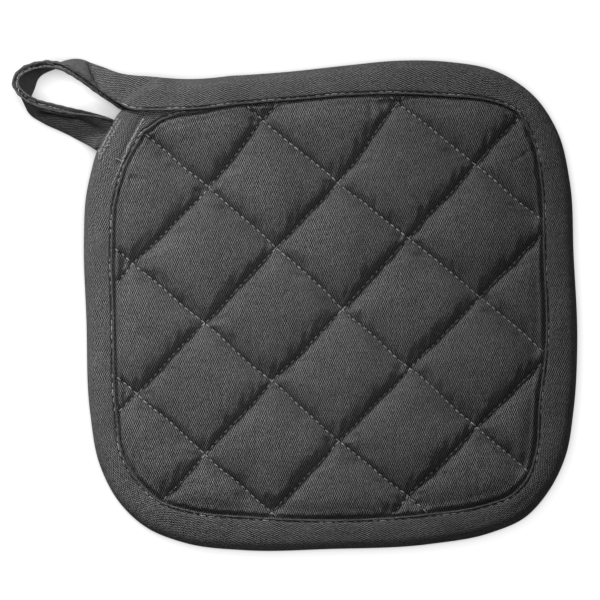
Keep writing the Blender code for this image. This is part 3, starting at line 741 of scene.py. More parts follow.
def twill_material(name, colour, weave, uv_map=None):
    """Charcoal twill whose ribs run at a slant, over the table or along the piece's own map."""
    material, nodes, shader = surface_material(
        name, roughness=0.85, sheen=0.03, sheen_roughness=0.5, specular=0.06
    )
    if uv_map:
        place = nodes.add("ShaderNodeUVMap", uv_map=uv_map).outputs["UV"]
    else:
        place = nodes.add("ShaderNodeTexCoord").outputs["Object"]
    group = nodes.add("ShaderNodeGroup", node_tree=bpy.data.node_groups["Cotton twill"])
    nodes.put(group.inputs["Place"], place)
    for socket, value in (
        ("Rib spacing", weave.spacing * MM), ("Rib slant", weave.slant),
        ("Crossing", weave.crossing), ("Wander", weave.wander),
        ("Depth", weave.contrast), ("Thread", (*colour, 1.0)),
    ):
        group.inputs[socket].default_value = value
    # the groove attribute carries painted seam shade into the cloth's colour
    groove = nodes.add("ShaderNodeAttribute", attribute_name="groove")
    nodes.put(group.inputs["Groove"], groove.outputs["Fac"])
    nodes.put(shader.inputs["Base Color"], group.outputs["Colour"])
    relief = nodes.add("ShaderNodeBump", {"Distance": TWILL_RELIEF * MM, "Strength": 1.0})
    nodes.put(relief.inputs["Height"], group.outputs["Height"])
    nodes.put(shader.inputs["Normal"], relief.outputs["Normal"])
    return material


def thread_material(name, colour):
    """Spun sewing thread, a little lighter than the cloth."""
    material, nodes, shader = surface_material(
        name, roughness=0.6, sheen=0.05, sheen_roughness=0.4, specular=0.2
    )
    place = nodes.add("ShaderNodeTexCoord").outputs["Object"]
    fuzz = nodes.add("ShaderNodeTexNoise", {"Vector": place, "Scale": FUZZ_SCALE, "Detail": 2.0})
    ramp = nodes.add("ShaderNodeMix", data_type="RGBA")
    nodes.put(ramp.inputs["Factor"], fuzz.outputs[0])
    for socket, tone in (("A", DARK_FUZZ), ("B", LIGHT_FUZZ)):
        ramp.inputs[socket].default_value = (*(channel * tone for channel in colour), 1.0)
    nodes.put(shader.inputs["Base Color"], ramp.outputs["Result"])
    return material


# ---------------------------------------------------------------------------------------------
# Quilted pad


def cell_counts(cells):
    """Counts of lines at the corners of the cells of cloth, past the outer lines too."""
    return np.arange((1 - PAST_LINES) * cells, (LINES + PAST_LINES - 1) * cells + 1) / cells


def cloth_cells(fold, width, cells):
    """Points of the pad's cloth between its seams: cells along the side of each diamond."""
    span = cell_counts(cells)
    rising, falling = (values.ravel() for values in np.meshgrid(span, span, indexing="ij"))
    off_seam = np.minimum(seam_distance(rising), seam_distance(falling)) > 0.5 / cells
    places = crossing(rising, falling)[off_seam]
    places = places[np.max(np.abs(places), axis=1) < SQUARE_HALF]
    return places[inside_binding(places, fold, width) > 0.0]


def seam_line(seam, slant, spacing, fold, width):
    """Points along one seam, about spacing apart, as far as the strip."""
    span = np.linspace(1 - PAST_LINES, LINES + PAST_LINES - 1, SEAM_POINTS)
    same = np.full(span.shape, float(seam))
    line = crossing(same, span) if slant == "rising" else crossing(span, same)
    line = line[inside_binding(line, fold, width) > SEAM_STOP]
    return even_path(wobbled(line, inside_binding(line, fold, width)), spacing)


def seam_rows(cells, fold, width):
    """Rows of points along every seam, at the corners of the cells of cloth."""
    span = cell_counts(cells)
    for seam in range(1, LINES + 1):
        same = np.full(span.shape, float(seam))
        for line in (crossing(same, span), crossing(span, same)):
            yield line[inside_binding(line, fold, width) > SEAM_STOP]


def plan_mesh(rings, rows, places, apart):
    """Plan in triangles: closed rings, the outline first, open rows, and loose places between."""
    points, lines = [], []
    for row in (*rings, *rows):
        first = len(points)
        points.extend(row)
        lines.extend((place, place + 1) for place in range(first, len(points) - 1))
        if len(points) <= sum(len(ring) for ring in rings):
            lines.append((len(points) - 1, first))
    taken = np.concatenate(rings)
    far = np.array([np.min(np.sum((taken - at) ** 2, axis=1)) > apart**2 for at in places])
    points.extend(places[far])
    flat_points = [Vector(point) for point in points]
    plan, _, triangles, origins, *_ = delaunay_2d_cdt(flat_points, lines, [], 1, 1e-5)
    outline = np.empty(len(rings[0]), int)
    for index, sources in enumerate(origins):
        for source in sources:
            if source < len(rings[0]):
                outline[source] = index
    return np.array(plan), [list(corners) for corners in triangles], outline


def stuffed(front, held, settings):
    """The front of the pad blown up between its seams, as cloth that is held along them."""
    group = front.vertex_groups.new(name="held")
    group.add([int(index) for index in np.flatnonzero(held)], 1.0, "REPLACE")
    group.add([int(index) for index in np.flatnonzero(~held)], WADDING_HOLD, "REPLACE")
    stuffing = front.modifiers.new("Stuffing", "CLOTH")
    cloth = stuffing.settings
    cloth.quality = SIMULATION_QUALITY
    cloth.mass = CLOTH_MASS
    cloth.tension_stiffness = cloth.compression_stiffness = CLOTH_STRETCH
    cloth.shear_stiffness = CLOTH_SHEAR
    cloth.bending_stiffness = settings.stiffness
    cloth.use_pressure = True
    cloth.uniform_pressure_force = settings.pressure
    cloth.shrink_min = -settings.slack
    cloth.vertex_group_mass = "held"
    cloth.effector_weights.gravity = 0.0
    stuffing.collision_settings.use_collision = False
    stuffing.point_cache.frame_start = 1
    stuffing.point_cache.frame_end = STUFFING_STEPS
    scene = bpy.context.scene
    for step in range(1, STUFFING_STEPS + 1):
        scene.frame_set(step)
    mesh = baked(front)
    front.modifiers.clear()
    scene.frame_set(1)
    return mesh


def front_cloth(settings, fold, inwards, width):
    """The front of the pad, from under the strip, puffed up between its seams."""
    outline = fold + inwards * RIM_INSET
    gripped = fold + inwards * (width + LIP_SLACK - GRIPPED_ROW)[:, None]
    free_edge = fold + inwards * (width + LIP_SLACK)[:, None]
    places = cloth_cells(fold, width, FRONT_CELLS)
    rows = list(seam_rows(FRONT_CELLS, fold, width))
    plan, triangles, order = plan_mesh((outline, gripped, free_edge), rows, places, CELL_APART)

    inside = inside_binding(plan, fold, width)
    counts = lines_at(plan)
    across, along = seam_distance(counts[:, 0]), seam_distance(counts[:, 1])
    seams = seam_height(plan, inside)
    crown = 1 - PUFF_CROWN + PUFF_CROWN * np.sin(math.pi * across) * np.sin(math.pi * along)
    puff = risen(across * LINES_APART[0], RISING_WALL) * crown
    puff *= risen(along * LINES_APART[1], FALLING_WALL)
    turn = PUFF_TURNS[0] * counts[:, 0].astype(int) + PUFF_TURNS[1] * counts[:, 1].astype(int)
    full = 1.0 + PUFF_UNEVENNESS * np.sin(turn)
    start = (PUFF_HEIGHT + SEAM_SINK + PUFF_SWELL) * settings.start * puff * rim_rise(inside) * full
    seams -= LIP_DIP * bump(inside, LIP_DIP_HALF)
    seams[order] -= RIM_TAPER
    held = (inside < HELD_EDGE) | (np.minimum(across, along) < HELD_SEAM)
    loose = ~held * CREASE_START
    start = start + loose * np.random.default_rng(settings.seed).standard_normal(len(plan))

    cloth = new_mesh("pad_front", np.column_stack((plan, seams + start)), triangles)
    front = show("pad_front", cloth)
    if front.data.polygons[0].normal.z < 0:
        front.data.flip_normals()
    mesh = stuffed(front, held, settings)
    moved = mesh_places(mesh)
    shift = moved - mesh_places(front.data)
    reach = np.linalg.norm(shift, axis=1, keepdims=True)
    cap = MOST_STUFFING / np.maximum(reach, MOST_STUFFING)
    place_points(mesh, mesh_places(front.data) + shift * cap)
    front.data = mesh
    on_seam = np.stack((across, along)) < HELD_SEAM
    crease_seams(front.data, on_seam & (inside > 0.0))
    finer = front.modifiers.new("Finer", "SUBSURF")
    finer.levels = finer.render_levels = 1
    front.data = baked(front)
    front.modifiers.clear()
    pucker(front.data, settings, fold, width)
    return front


def crease_seams(mesh, on_seam):
    """Keep the cloth's turn sharp along the seams when the mesh is made finer."""
    ends = np.empty(len(mesh.edges) * 2, int)
    mesh.edges.foreach_get("vertices", ends)
    along_seam = np.any(on_seam[:, ends[0::2]] & on_seam[:, ends[1::2]], axis=0)
    crease = mesh.attributes.new("crease_edge", "FLOAT", "EDGE")
    crease.data.foreach_set("value", along_seam * SEAM_CREASE)


def pucker(mesh, settings, fold, width):
    """Draw short slanted dents into the front beside its seams, and make it softly uneven."""
    places = mesh_places(mesh)
    counts = lines_at(places[:, :2])
    inside = inside_binding(places[:, :2], fold, width)
    height = settings.uneven * uneven(places, UNEVEN_SIZE, 6)
    height += UNEVEN_PART * settings.uneven * uneven(places, UNEVEN_SIZE / UNEVEN_FINER, 7)
    height -= creased(places, PANEL_CREASES)
    closest = np.full(len(places), SQUARE_HALF)
    for slant, other in ((0, 1), (1, 0)):
        nearest = np.clip(np.round(counts[:, slant]), 1, LINES)
        away = (counts[:, slant] - nearest) * LINES_APART[slant]
        run = counts[:, other] * LINES_APART[other] + PUCKER_SLANT * np.abs(away)
        side = PUCKER_SIDES * (2 * nearest + np.sign(away))
        outwards = np.abs(away) / (3 * PUCKER_LENGTH)
        dent = uneven(np.column_stack((run / PUCKER_LENGTH, side, outwards)), 1.0, 8 + slant)
        near = bump(np.abs(away) - PUCKER_REACH, PUCKER_HALF)
        height -= settings.pucker * near * (np.clip(PUCKER_CONTRAST * dent, -PUCKER_BULGE, 1.0))
        closest = np.minimum(closest, np.abs(away))
    # painted shade along both slants of seams, darkening the cloth's colour
    paint_seam_shade(mesh, closest)
    height -= SEAM_NIP * bump(away, SEAM_NIP_HALF)  # away is from falling seams, the last done
    places[:, 2] += height * ease(inside / SINK_WIDTH)
    lowest = lift(places[:, :2]) + BACK_VALLEY + THINNEST
    places[:, 2] = np.maximum(places[:, 2], lowest)
    place_points(mesh, wobbled(places, inside))


def make_pad(settings):
    """The pad: the stuffed front, the back that lies on the table and the wall between."""
    fold, inwards, width = bound_edge(FOLD_SPACING)
    front = front_cloth(settings, fold, inwards, width)

    joined = bmesh.new()
    joined.from_mesh(front.data)
    bpy.data.objects.remove(front)
    joined.verts.ensure_lookup_table()
    edge = next(edge for edge in joined.edges if edge.is_boundary)
    ring = [edge.verts[0]]
    while True:
        ahead = [e for e in ring[-1].link_edges if e.is_boundary]
        onward = [e.other_vert(ring[-1]) for e in ahead]
        onward = [vert for vert in onward if len(ring) < 2 or vert is not ring[-2]]
        if onward[0] is ring[0]:
            break
        ring.append(onward[0])
    outline = np.array([vert.co.xy for vert in ring]) / MM - np.array(SQUARE_MIDDLE)

    free_edge = fold + inwards * (width + LIP_SLACK)[:, None]
    places = cloth_cells(fold, width, BACK_CELLS)
    rows = list(seam_rows(BACK_CELLS, fold, width))
    apart = CELL_APART * FRONT_CELLS / BACK_CELLS
    plan, triangles, order = plan_mesh((outline, free_edge), rows, places, apart)
    inside = inside_binding(plan, fold, width)
    heights = back_height(plan, inside, lines_at(plan))
    places = wobbled(np.column_stack((plan, heights)), inside)
    back = [joined.verts.new(place) for place in in_frame(places)]
    for corners in triangles:
        joined.faces.new([back[corner] for corner in corners])
    for index, vert in enumerate(ring):
        after = (index + 1) % len(ring)
        joined.faces.new((vert, ring[after], back[order[after]], back[order[index]]))
    bmesh.ops.recalc_face_normals(joined, faces=joined.faces)
    mesh = bpy.data.meshes.new("quilted_pad_cloth")
    joined.to_mesh(mesh)
    joined.free()
    mesh.shade_smooth()
    return show("quilted_pad_cloth", mesh)


# ---------------------------------------------------------------------------------------------
# Folded strip


def strip_cuts():
    """Cuts along the whole strip, about a millimetre apart: columns as in LOOP_CUTS."""
    fold, inwards, width = bound_edge(STRIP_SPACING)
    opened = fold + inwards * width[:, None]
    middle = lift(fold) + STRIP_WALL + FIT + RIM_THICKNESS / 2
    grip = np.full(len(fold), RIM_THICKNESS + 2 * FIT)
    flat = np.zeros(len(fold))
    bound = np.column_stack((fold, middle, opened, middle, grip, grip, flat - 1.0, flat))
    loop = smooth_rows(np.vstack((bound[-1], LOOP_CUTS)), STRIP_SPACING)[1:]
    rows = np.concatenate((bound, loop))
    weights = np.array((1.0, 2.0, 3.0, 2.0, 1.0)) / 9.0
    padded = np.concatenate((rows[:1], rows[:1], rows, rows[-1:], rows[-1:]))
    even = np.array([np.convolve(column, weights, "valid") for column in padded.T]).T
    return even, len(bound)


def strip_frame(cuts):
    """Way in from the fold, way up to the front, width and distance along, for each cut."""
    folds, opens = cuts[:, :3], cuts[:, 3:6]
    middle = (folds + opens) / 2
    run = unit(np.gradient(middle, axis=0))
    width = np.linalg.norm(opens - folds, axis=1)
    inwards = (opens - folds) / width[:, None]
    upwards = unit(np.cross(run, inwards))
    return inwards, upwards, width, distance_along(middle)


def half_gap(place, cut):
    """Half the clear space between the strip's two sides, at a place in from its fold."""
    closing = ease((place - cut[PAD_EDGE] + CLOSING_START) / CLOSING_LENGTH)
    closed = ease(CLOSED_GAP - cut[GAP_OPEN])
    parting = LIP_OPENING * closed * ease((place - cut[WIDTH]) / LIP_OPENING_WIDTH + 1.0)
    return (cut[GAP_FOLD] + (cut[GAP_OPEN] - cut[GAP_FOLD]) * closing + parting) / 2


def lap_curl(place, cut, width):
    """How far the front's open edge curls up where it laps over the corner."""
    lapped = ease((cut[GAP_OPEN] - LAP_GAP) / LAP_GAP_RANGE)
    return LAP_CURL * lapped * ease((place - width) / LAP_CURL_WIDTH + 1.0)


def side_relief(place, width, reach, groove):
    """How far one side of the strip stands up off its even thickness."""
    part = (place - reach) / (width - reach)
    swell = np.interp(part, FRONT_ACROSS, FRONT_RELIEF)
    dent = bump(place - width + EDGE_STITCH_INSET, GROOVE_HALF)
    hem = bump(place - width + HEM_RIDGE_INSET, HEM_RIDGE_HALF)
    return swell, groove * (HEM_RIDGE * hem - dent)


def fold_reach(cut):
    """How far in from the fold the outside of the strip is rounded."""
    return min(FOLD_ROUND * (cut[GAP_FOLD] / 2 + STRIP_WALL), WIDEST_ROUND)


def strip_section(cut, width, swell_part, groove):
    """One cut across the folded strip, as points (in from the fold, up towards the front)."""
    radius = STRIP_WALL / 2
    inner_reach = STRIP_WALL + INNER_ROUND * cut[GAP_FOLD] / 2
    reach = fold_reach(cut)
    last = width - radius
    near_lip = width - np.array(NEAR_LIP)
    broad = reach + (near_lip[0] - reach) * np.arange(1, BROAD_STEPS) / BROAD_STEPS
    places = np.concatenate((broad, near_lip))

    swell, hem = side_relief(places, width, reach, groove)
    front = half_gap(places, cut) + STRIP_WALL + swell * swell_part + hem
    front += lap_curl(places, cut, width)
    back = -half_gap(places, cut) - STRIP_WALL - hem * BACK_GROOVE_PART
    turn = np.linspace(math.pi / 2, -math.pi / 2, LIP_STEPS + 1)
    inner = inner_reach + (last - inner_reach) * np.arange(INNER_STEPS + 1) / INNER_STEPS
    fold_turn = np.linspace(-math.pi / 2, math.pi / 2, FOLD_STEPS + 1)
    outer_half = half_gap(reach, cut) + STRIP_WALL
    outer = outer_half * np.sin(fold_turn) - FOLD_DROP * cut[GAP_FOLD] / 2 * np.cos(fold_turn) ** 2
    outer = np.maximum(outer, -outer_half)
    squeezed = np.ones(INNER_STEPS + 1)
    squeezed[0] = FOLD_SQUEEZE
    inner_height = squeezed * half_gap(inner, cut)
    lip_middle = half_gap(last, cut) + radius
    inner_turn = fold_turn[::-2]
    inner_place = inner_reach - (inner_reach - STRIP_WALL) * np.cos(inner_turn)
    inner_fold = inner_height[0] * np.sin(inner_turn)
    inner_fold -= INNER_DROP * cut[GAP_FOLD] / 2 * np.cos(inner_turn) ** 2

    def lip(side, edge_height, middle):
        """Round end of one side, from its outer face to its inner one."""
        height = middle + radius * np.sin(turn)
        height += (edge_height - middle - radius) * np.clip(np.sin(turn), 0.0, 1.0)
        return np.column_stack((last + radius * np.cos(turn), side * height))

    front_lip = lip(1.0, front[-1], lip_middle + lap_curl(last, cut, width))
    back_lip = lip(-1.0, -back[-1], lip_middle)
    parts = (
        np.column_stack((places, back))[::-1],
        np.column_stack((reach - reach * np.cos(fold_turn), outer)),
        np.column_stack((places, front)),
        front_lip[1:],
        np.column_stack((inner, inner_height + lap_curl(inner, cut, width)))[-2:0:-1],
        np.column_stack((inner_place, inner_fold)),
        np.column_stack((inner, -inner_height))[1:-1],
        back_lip[:0:-1],
    )
    section = np.concatenate(parts)
    section[:, 1] += cut[BOW] * np.sin(math.pi * np.clip(section[:, 0] / width, 0.0, 1.0))
    return section


def make_strip(settings):
    """The one strip that binds the pad and runs on as the loop, and where it is stitched."""
    cuts, bound_count = strip_cuts()
    inwards, upwards, width, along = strip_frame(cuts)
    cuts = np.column_stack((cuts, width))
    lip_path = cuts[:, :3] + inwards * (width - EDGE_STITCH_INSET)[:, None]
    lip_along = distance_along(lip_path)
    stitches = round(lip_along[-1] / settings.stitch)
    phase = lip_along / lip_along[-1] * stitches
    bound_length = along[bound_count - 1]

    rings, seams, ups = [], [], []
    for index, cut in enumerate(cuts):
        at = along[index]
        wave = sum(part * math.sin(turns * at / RELIEF_STEP) for turns, part in RELIEF_WAVES)
        pressed = ease(at / LAPPED_LENGTH - 1.0) * (1 - ease((at - bound_length) / LAPPED_LENGTH))
        swell_part = (1.0 + FRONT_WAVE * wave) * pressed
        groove = settings.groove * (1.0 + STITCH_PINCH * math.cos(2 * math.pi * phase[index]))
        section = strip_section(cut, width[index], swell_part, groove)
        ring = cut[:3] + section[:, :1] * inwards[index] + section[:, 1:] * upwards[index]
        rings.append(ring)
        stitch_place = width[index] - EDGE_STITCH_INSET
        reach = fold_reach(cut)
        swell, hem = side_relief(stitch_place, width[index], reach, groove)
        bow = cut[BOW] * math.sin(math.pi * stitch_place / width[index])
        half = half_gap(stitch_place, cut) + STRIP_WALL
        curl = lap_curl(stitch_place, cut, width[index])
        heights = (
            half + swell * swell_part + hem + bow + curl, -half - hem * BACK_GROOVE_PART + bow,
        )
        seams.append([
            cut[:3] + inwards[index] * stitch_place + upwards[index] * height
            for height in heights
        ])
        ups.append(upwards[index])
    rings = np.array(rings)
    seams = np.array(seams)

    # cloth is never quite even: soft dents along the strip, and none where it lies on the table
    flat = rings.reshape(-1, 3)
    dents = uneven(flat, settings.dent_size, 3)
    dents += FINE_DENTS * uneven(flat, settings.dent_size / FINE_DENT_PART, 4)
    dents = (dents * settings.dent).reshape(rings.shape[:2])
    free = ease(CLOSED_GAP - cuts[:, GAP_FOLD])[:, None]
    from_fold = rings - cuts[:, None, :3]
    above = np.sum(from_fold * np.array(ups)[:, None, :], axis=2)
    inward = np.sum(from_fold * inwards[:, None, :], axis=2)
    edges_held = ease(inward / CREASE_EDGE) * ease((width[:, None] - inward) / CREASE_EDGE)
    dents -= creased(flat, STRIP_CREASES).reshape(dents.shape) * edges_held
    moving = free + (1 - free) * ease(0.5 + above)
    rings = rings + (dents * moving)[..., None] * np.array(ups)[:, None, :]
    for ring, seam in zip(rings, seams):
        low = min(0.0, ring[:, 2].min())
        ring[:, 2] -= low
        seam[:, 2] -= low

    count, points = rings.shape[:2]
    around = np.linalg.norm(np.roll(rings, -1, axis=1) - rings, axis=2)
    across = np.concatenate((np.zeros((count, 1)), np.cumsum(around, axis=1)), axis=1)
    across -= across[:, FOLD_POINT : FOLD_POINT + 1]
    faces, values = [], []
    for first in range(count - 1):
        for index in range(points):
            corners = (first, index), (first, index + 1), (first + 1, index + 1), (first + 1, index)
            faces.append([ring * points + place % points for ring, place in corners])
            for ring, place in corners:
                values += along[ring], across[ring, place]
    faces.append(tuple(range(points))[::-1])
    faces.append(tuple((count - 1) * points + index for index in range(points)))
    mesh = new_mesh("edging_strip", rings.reshape(-1, 3), faces)
    # painted shade along the line of edge stitches, darkening the strip's colour
    paint_seam_shade(mesh, inward - width[:, None] + EDGE_STITCH_INSET)
    cloth_map = mesh.uv_layers.new(name="cloth")
    values += [0.0] * (2 * len(cloth_map.data) - len(values))
    cloth_map.data.foreach_set("uv", np.array(values) * MM)
    turned = bmesh.new()
    turned.from_mesh(mesh)
    bmesh.ops.recalc_face_normals(turned, faces=turned.faces)
    turned.to_mesh(mesh)
    turned.free()
    mesh.shade_smooth()
    strip = show("edging_strip", mesh)
    return strip, seams, np.array(ups), along[-1]


# ---------------------------------------------------------------------------------------------
# Stitches


def stitch_tree():
    """Geometry nodes: one stitch of thread at each point of rows that know which way is up."""
    tree = bpy.data.node_groups.new("Rows of stitches", "GeometryNodeTree")
    face = tree.interface
    face.new_socket("Rows", in_out="INPUT", socket_type="NodeSocketGeometry")
    lengths = (("Length", 0.0018), ("Thickness", 0.0004), ("Dive", 0.7), ("Wander", 0.1))
    for label, default in lengths:
        socket = face.new_socket(label, in_out="INPUT", socket_type="NodeSocketFloat")
        socket.default_value = default
    face.new_socket("Seed", in_out="INPUT", socket_type="NodeSocketInt")
    face.new_socket("Thread", in_out="INPUT", socket_type="NodeSocketMaterial")
    face.new_socket("Stitches", in_out="OUTPUT", socket_type="NodeSocketGeometry")
    nodes = Nodes(tree)
    given = nodes.add("NodeGroupInput").outputs
    rows = nodes.add("GeometryNodeMeshToCurve", {"Mesh": given["Rows"]})

    def corner(length_part, height_part):
        place = nodes.add("ShaderNodeCombineXYZ")
        nodes.put(place.inputs["X"], nodes.math("MULTIPLY", given["Length"], length_part))
        nodes.put(place.inputs["Z"], nodes.math("MULTIPLY", given["Thickness"], height_part))
        return place.outputs[0]

    # Its ends go Dive thicknesses into the cloth, and its middle lies on top.
    dive = nodes.math("MULTIPLY", given["Dive"], -1.0)
    arc = nodes.add("GeometryNodeCurveQuadraticBezier", {
        "Resolution": THREAD_STEPS, "Start": corner(-0.5, dive), "End": corner(0.5, dive),
        "Middle": corner(0.0, nodes.math("ADD", given["Dive"], 0.5)),
    })
    round_thread = nodes.add("GeometryNodeCurvePrimitiveCircle", {"Resolution": THREAD_STEPS})
    half = nodes.math("MULTIPLY", given["Thickness"], 0.5)
    nodes.put(round_thread.inputs["Radius"], half)
    stitch = nodes.add("GeometryNodeCurveToMesh", {
        "Curve": arc.outputs[0], "Profile Curve": round_thread.outputs[0], "Fill Caps": True,
    })

    def random_vector(low, high, more):
        value = nodes.add("FunctionNodeRandomValue", data_type="FLOAT_VECTOR")
        value.inputs[0].default_value, value.inputs[1].default_value = low, high
        nodes.put(value.inputs["Seed"], nodes.math("ADD", given["Seed"], more))
        return value.outputs[0]

    aside = nodes.add("ShaderNodeVectorMath", operation="SCALE")
    nodes.put(aside.inputs[0], random_vector((-1.0,) * 3, (1.0,) * 3, 0))
    nodes.put(aside.inputs["Scale"], given["Wander"])
    ahead = nodes.add("ShaderNodeVectorMath", operation="ADD")
    nodes.put(ahead.inputs[0], nodes.add("GeometryNodeInputTangent").outputs[0])
    nodes.put(ahead.inputs[1], aside.outputs[0])
    up = nodes.add("GeometryNodeInputNamedAttribute", {"Name": "up"}, data_type="FLOAT_VECTOR")
    turn = nodes.add("FunctionNodeAxesToRotation", primary_axis="X", secondary_axis="Z")
    nodes.put(turn.inputs[0], ahead.outputs[0])
    nodes.put(turn.inputs[1], up.outputs[0])
    placed = nodes.add("GeometryNodeInstanceOnPoints", {
        "Points": rows.outputs[0], "Instance": stitch.outputs[0], "Rotation": turn.outputs[0],
        "Scale": random_vector(LEAST_STITCH, MOST_STITCH, 1),
    })
    real = nodes.add("GeometryNodeRealizeInstances", {"Geometry": placed.outputs[0]})
    finish = nodes.add("GeometryNodeSetMaterial", {
        "Geometry": real.outputs[0], "Material": given["Thread"],
    })
    nodes.add("NodeGroupOutput", {"Stitches": finish.outputs[0]})
    return tree


def stitched(name, rows, length, thickness, dive, wander, seed, thread):
    """A piece of stitches along rows: each row has its points and the ways up, in mm."""
    points, ups, edges = [], [], []
    for row_points, row_ups in rows:
        first = len(points)
        points.extend(row_points)
        ups.extend(row_ups)
        edges.extend((index, index + 1) for index in range(first, len(points) - 1))
    mesh = bpy.data.meshes.new(name + "_rows")
    mesh.from_pydata(in_frame(points).tolist(), edges, [])
    attribute = mesh.attributes.new("up", "FLOAT_VECTOR", "POINT")
    attribute.data.foreach_set("vector", np.array(ups, float).ravel())
    rows_piece = show(name + "_rows", mesh)
    maker = rows_piece.modifiers.new("Stitches", "NODES")
    tree = bpy.data.node_groups.get("Rows of stitches") or stitch_tree()
    maker.node_group = tree
    values = {
        "Length": length * MM, "Thickness": thickness * MM, "Dive": dive, "Wander": wander,
        "Seed": seed, "Thread": thread,
    }
    for socket in tree.interface.items_tree:
        if socket.in_out == "INPUT" and socket.name in values:
            maker[socket.identifier] = values[socket.name]
    made = baked(rows_piece)
    bpy.data.objects.remove(rows_piece)
    places = mesh_places(made)
    places[:, 2] = np.maximum(places[:, 2], 0.0)  # the threads underneath lie on the table
    place_points(made, places)
    made.shade_smooth()
    piece = show(name, made)
    made.polygons.foreach_set("material_index", np.zeros(len(made.polygons), int))
    made.materials.clear()
    made.materials.append(thread)
    return piece


def surface_rows(lines, surface, side, above=0.0):
    """Rows laid on a surface in mm, from above (1) or below (-1), with the ways up."""
    rows = []
    for line in lines:
        points = []
        for x, y in line:
            start = Vector((x + SQUARE_MIDDLE[0], y + SQUARE_MIDDLE[1], RAY_START * side)) * MM
            hit = surface.ray_cast(start, Vector((0.0, 0.0, -side)))[0]
            if hit is None:
                raise RuntimeError(f"no cloth under a stitch at {x:.1f}, {y:.1f}")
            points.append((x, y, hit.z / MM + side * above))
        rows.append((points, [(0.0, 0.0, float(side))] * len(points)))
    return rows


def surface_tree(piece):
    """A piece's surface for finding the cloth under a stitch."""
    mesh = piece.data
    places = [vert.co for vert in mesh.vertices]
    return BVHTree.FromPolygons(places, [tuple(face.vertices) for face in mesh.polygons])


def tube(name, points, thickness, material):
    """A loose end of thread through points in mm."""
    curve = bpy.data.curves.new(name, "CURVE")
    curve.dimensions = "3D"
    curve.bevel_depth = thickness * MM / 2
    curve.bevel_resolution = 1
    curve.resolution_u = 4
    curve.use_fill_caps = True
    spline = curve.splines.new("NURBS")
    spline.points.add(len(points) - 1)
    for knot, place in zip(spline.points, in_frame(points)):
        knot.co = (*place, 1.0)
    spline.use_endpoint_u = True
    spline.order_u = 3
    line = show(name + "_line", curve)
    mesh = baked(line)
    bpy.data.objects.remove(line)
    mesh.shade_smooth()
    mesh.materials.append(material)
    return mesh


# ---------------------------------------------------------------------------------------------
# Settings


def length_value(name, description, default, low, high):
    """A length in millimetres for the sidebar."""
    return bpy.props.FloatProperty(
        name=name, description=description, default=default, min=low, max=high, precision=2
    )


def colour_value(name, description, default):
    """A colour for the sidebar."""
    return bpy.props.FloatVectorProperty(
        name=name, description=description, default=default, size=3, min=0.0, max=1.0,
        subtype="COLOR",
    )


class PadSettings(bpy.types.PropertyGroup):
    """Sizes and colour of the quilted pad."""

    start: bpy.props.FloatProperty(
        name="Filling", description="Part of the full puff that the cloth is cut for",
        default=0.9, min=0.2, max=1.2, subtype="FACTOR",
    )
    slack: bpy.props.FloatProperty(
        name="Slack", description="Extra cloth that puckers at the seams",
        default=0.006, min=0.0, max=0.1, subtype="FACTOR",
    )
    pressure: bpy.props.FloatProperty(
        name="Pressure", description="How hard the wadding pushes the cloth up",
        default=200.0, min=0.0, max=1000.0,
    )
    stiffness: bpy.props.FloatProperty(
        name="Stiffness", description="How much the cloth resists bending",
        default=10.0, min=0.0, max=100.0,
    )
    pucker: length_value("Puckers", "Depth of the puckers beside the seams, in mm", 1.1, 0.0, 2.0)
    uneven: length_value("Unevenness", "Unevenness of the wadding, in mm", 0.45, 0.0, 2.0)
    seed: bpy.props.IntProperty(name="Seed", description="Another set of puckers", default=1)
    colour: colour_value("Cloth", "Colour of the quilted cloth", (0.041, 0.041, 0.041))


class StripSettings(bpy.types.PropertyGroup):
    """Sizes and colour of the folded strip."""

    stitch: length_value("Stitch", "Length of one stitch of the edge, in mm", 4.3, 1.0, 10.0)
    groove: length_value("Groove", "Depth that the stitches draw in, in mm", 0.95, 0.0, 1.0)
    dent: length_value("Dents", "Unevenness of the strip, in mm", 0.16, 0.0, 1.0)
    dent_size: length_value("Dent size", "Length of one dent, in mm", 9.0, 2.0, 40.0)
    colour: colour_value("Cloth", "Colour of the strip", (0.044, 0.044, 0.044))


class ThreadSettings(bpy.types.PropertyGroup):
    """Sizes and colour of the sewing thread."""

    quilting: length_value("Quilting stitch", "Length of a quilting stitch, in mm", 2.8, 1.0, 8.0)
    thickness: length_value("Thickness", "Thickness of the thread, in mm", 0.36, 0.1, 1.5)
    colour: colour_value("Quilting thread", "Colour of the quilting thread", (0.2, 0.2, 0.2))
    corner_colour: colour_value(
        "Corner thread", "Colour of the thread at the corner", (0.12, 0.12, 0.12)
    )
    edge_colour: colour_value("Edge thread", "Colour of the edge's thread", (0.16, 0.16, 0.16))


class StageSettings(bpy.types.PropertyGroup):
    """Floor, lights and camera."""

    overhead: bpy.props.FloatProperty(
        name="Overhead", description="Power of the soft lamp overhead",
        default=0.56, min=0.0, unit="POWER",
    )
    upper: bpy.props.FloatProperty(
        name="Upper", description="Power of the soft lamp above and left of the holder",
        default=1.22, min=0.0, unit="POWER",
    )
    fill: bpy.props.FloatProperty(
        name="Fill", description="Brightness of the studio all round", default=0.012, min=0.0
    )
    floor: bpy.props.FloatProperty(
        name="Floor glow", description="Brightness of the lit floor", default=1.06, min=0.0
    )


SETTINGS = {
    "holder_pad": PadSettings,
    "holder_strip": StripSettings,
    "holder_thread": ThreadSettings,
    "holder_stage": StageSettings,
}


# ---------------------------------------------------------------------------------------------
# Operators


def twill_ready():
    """Make the twill group once."""
    if "Cotton twill" not in bpy.data.node_groups:
        twill_group()


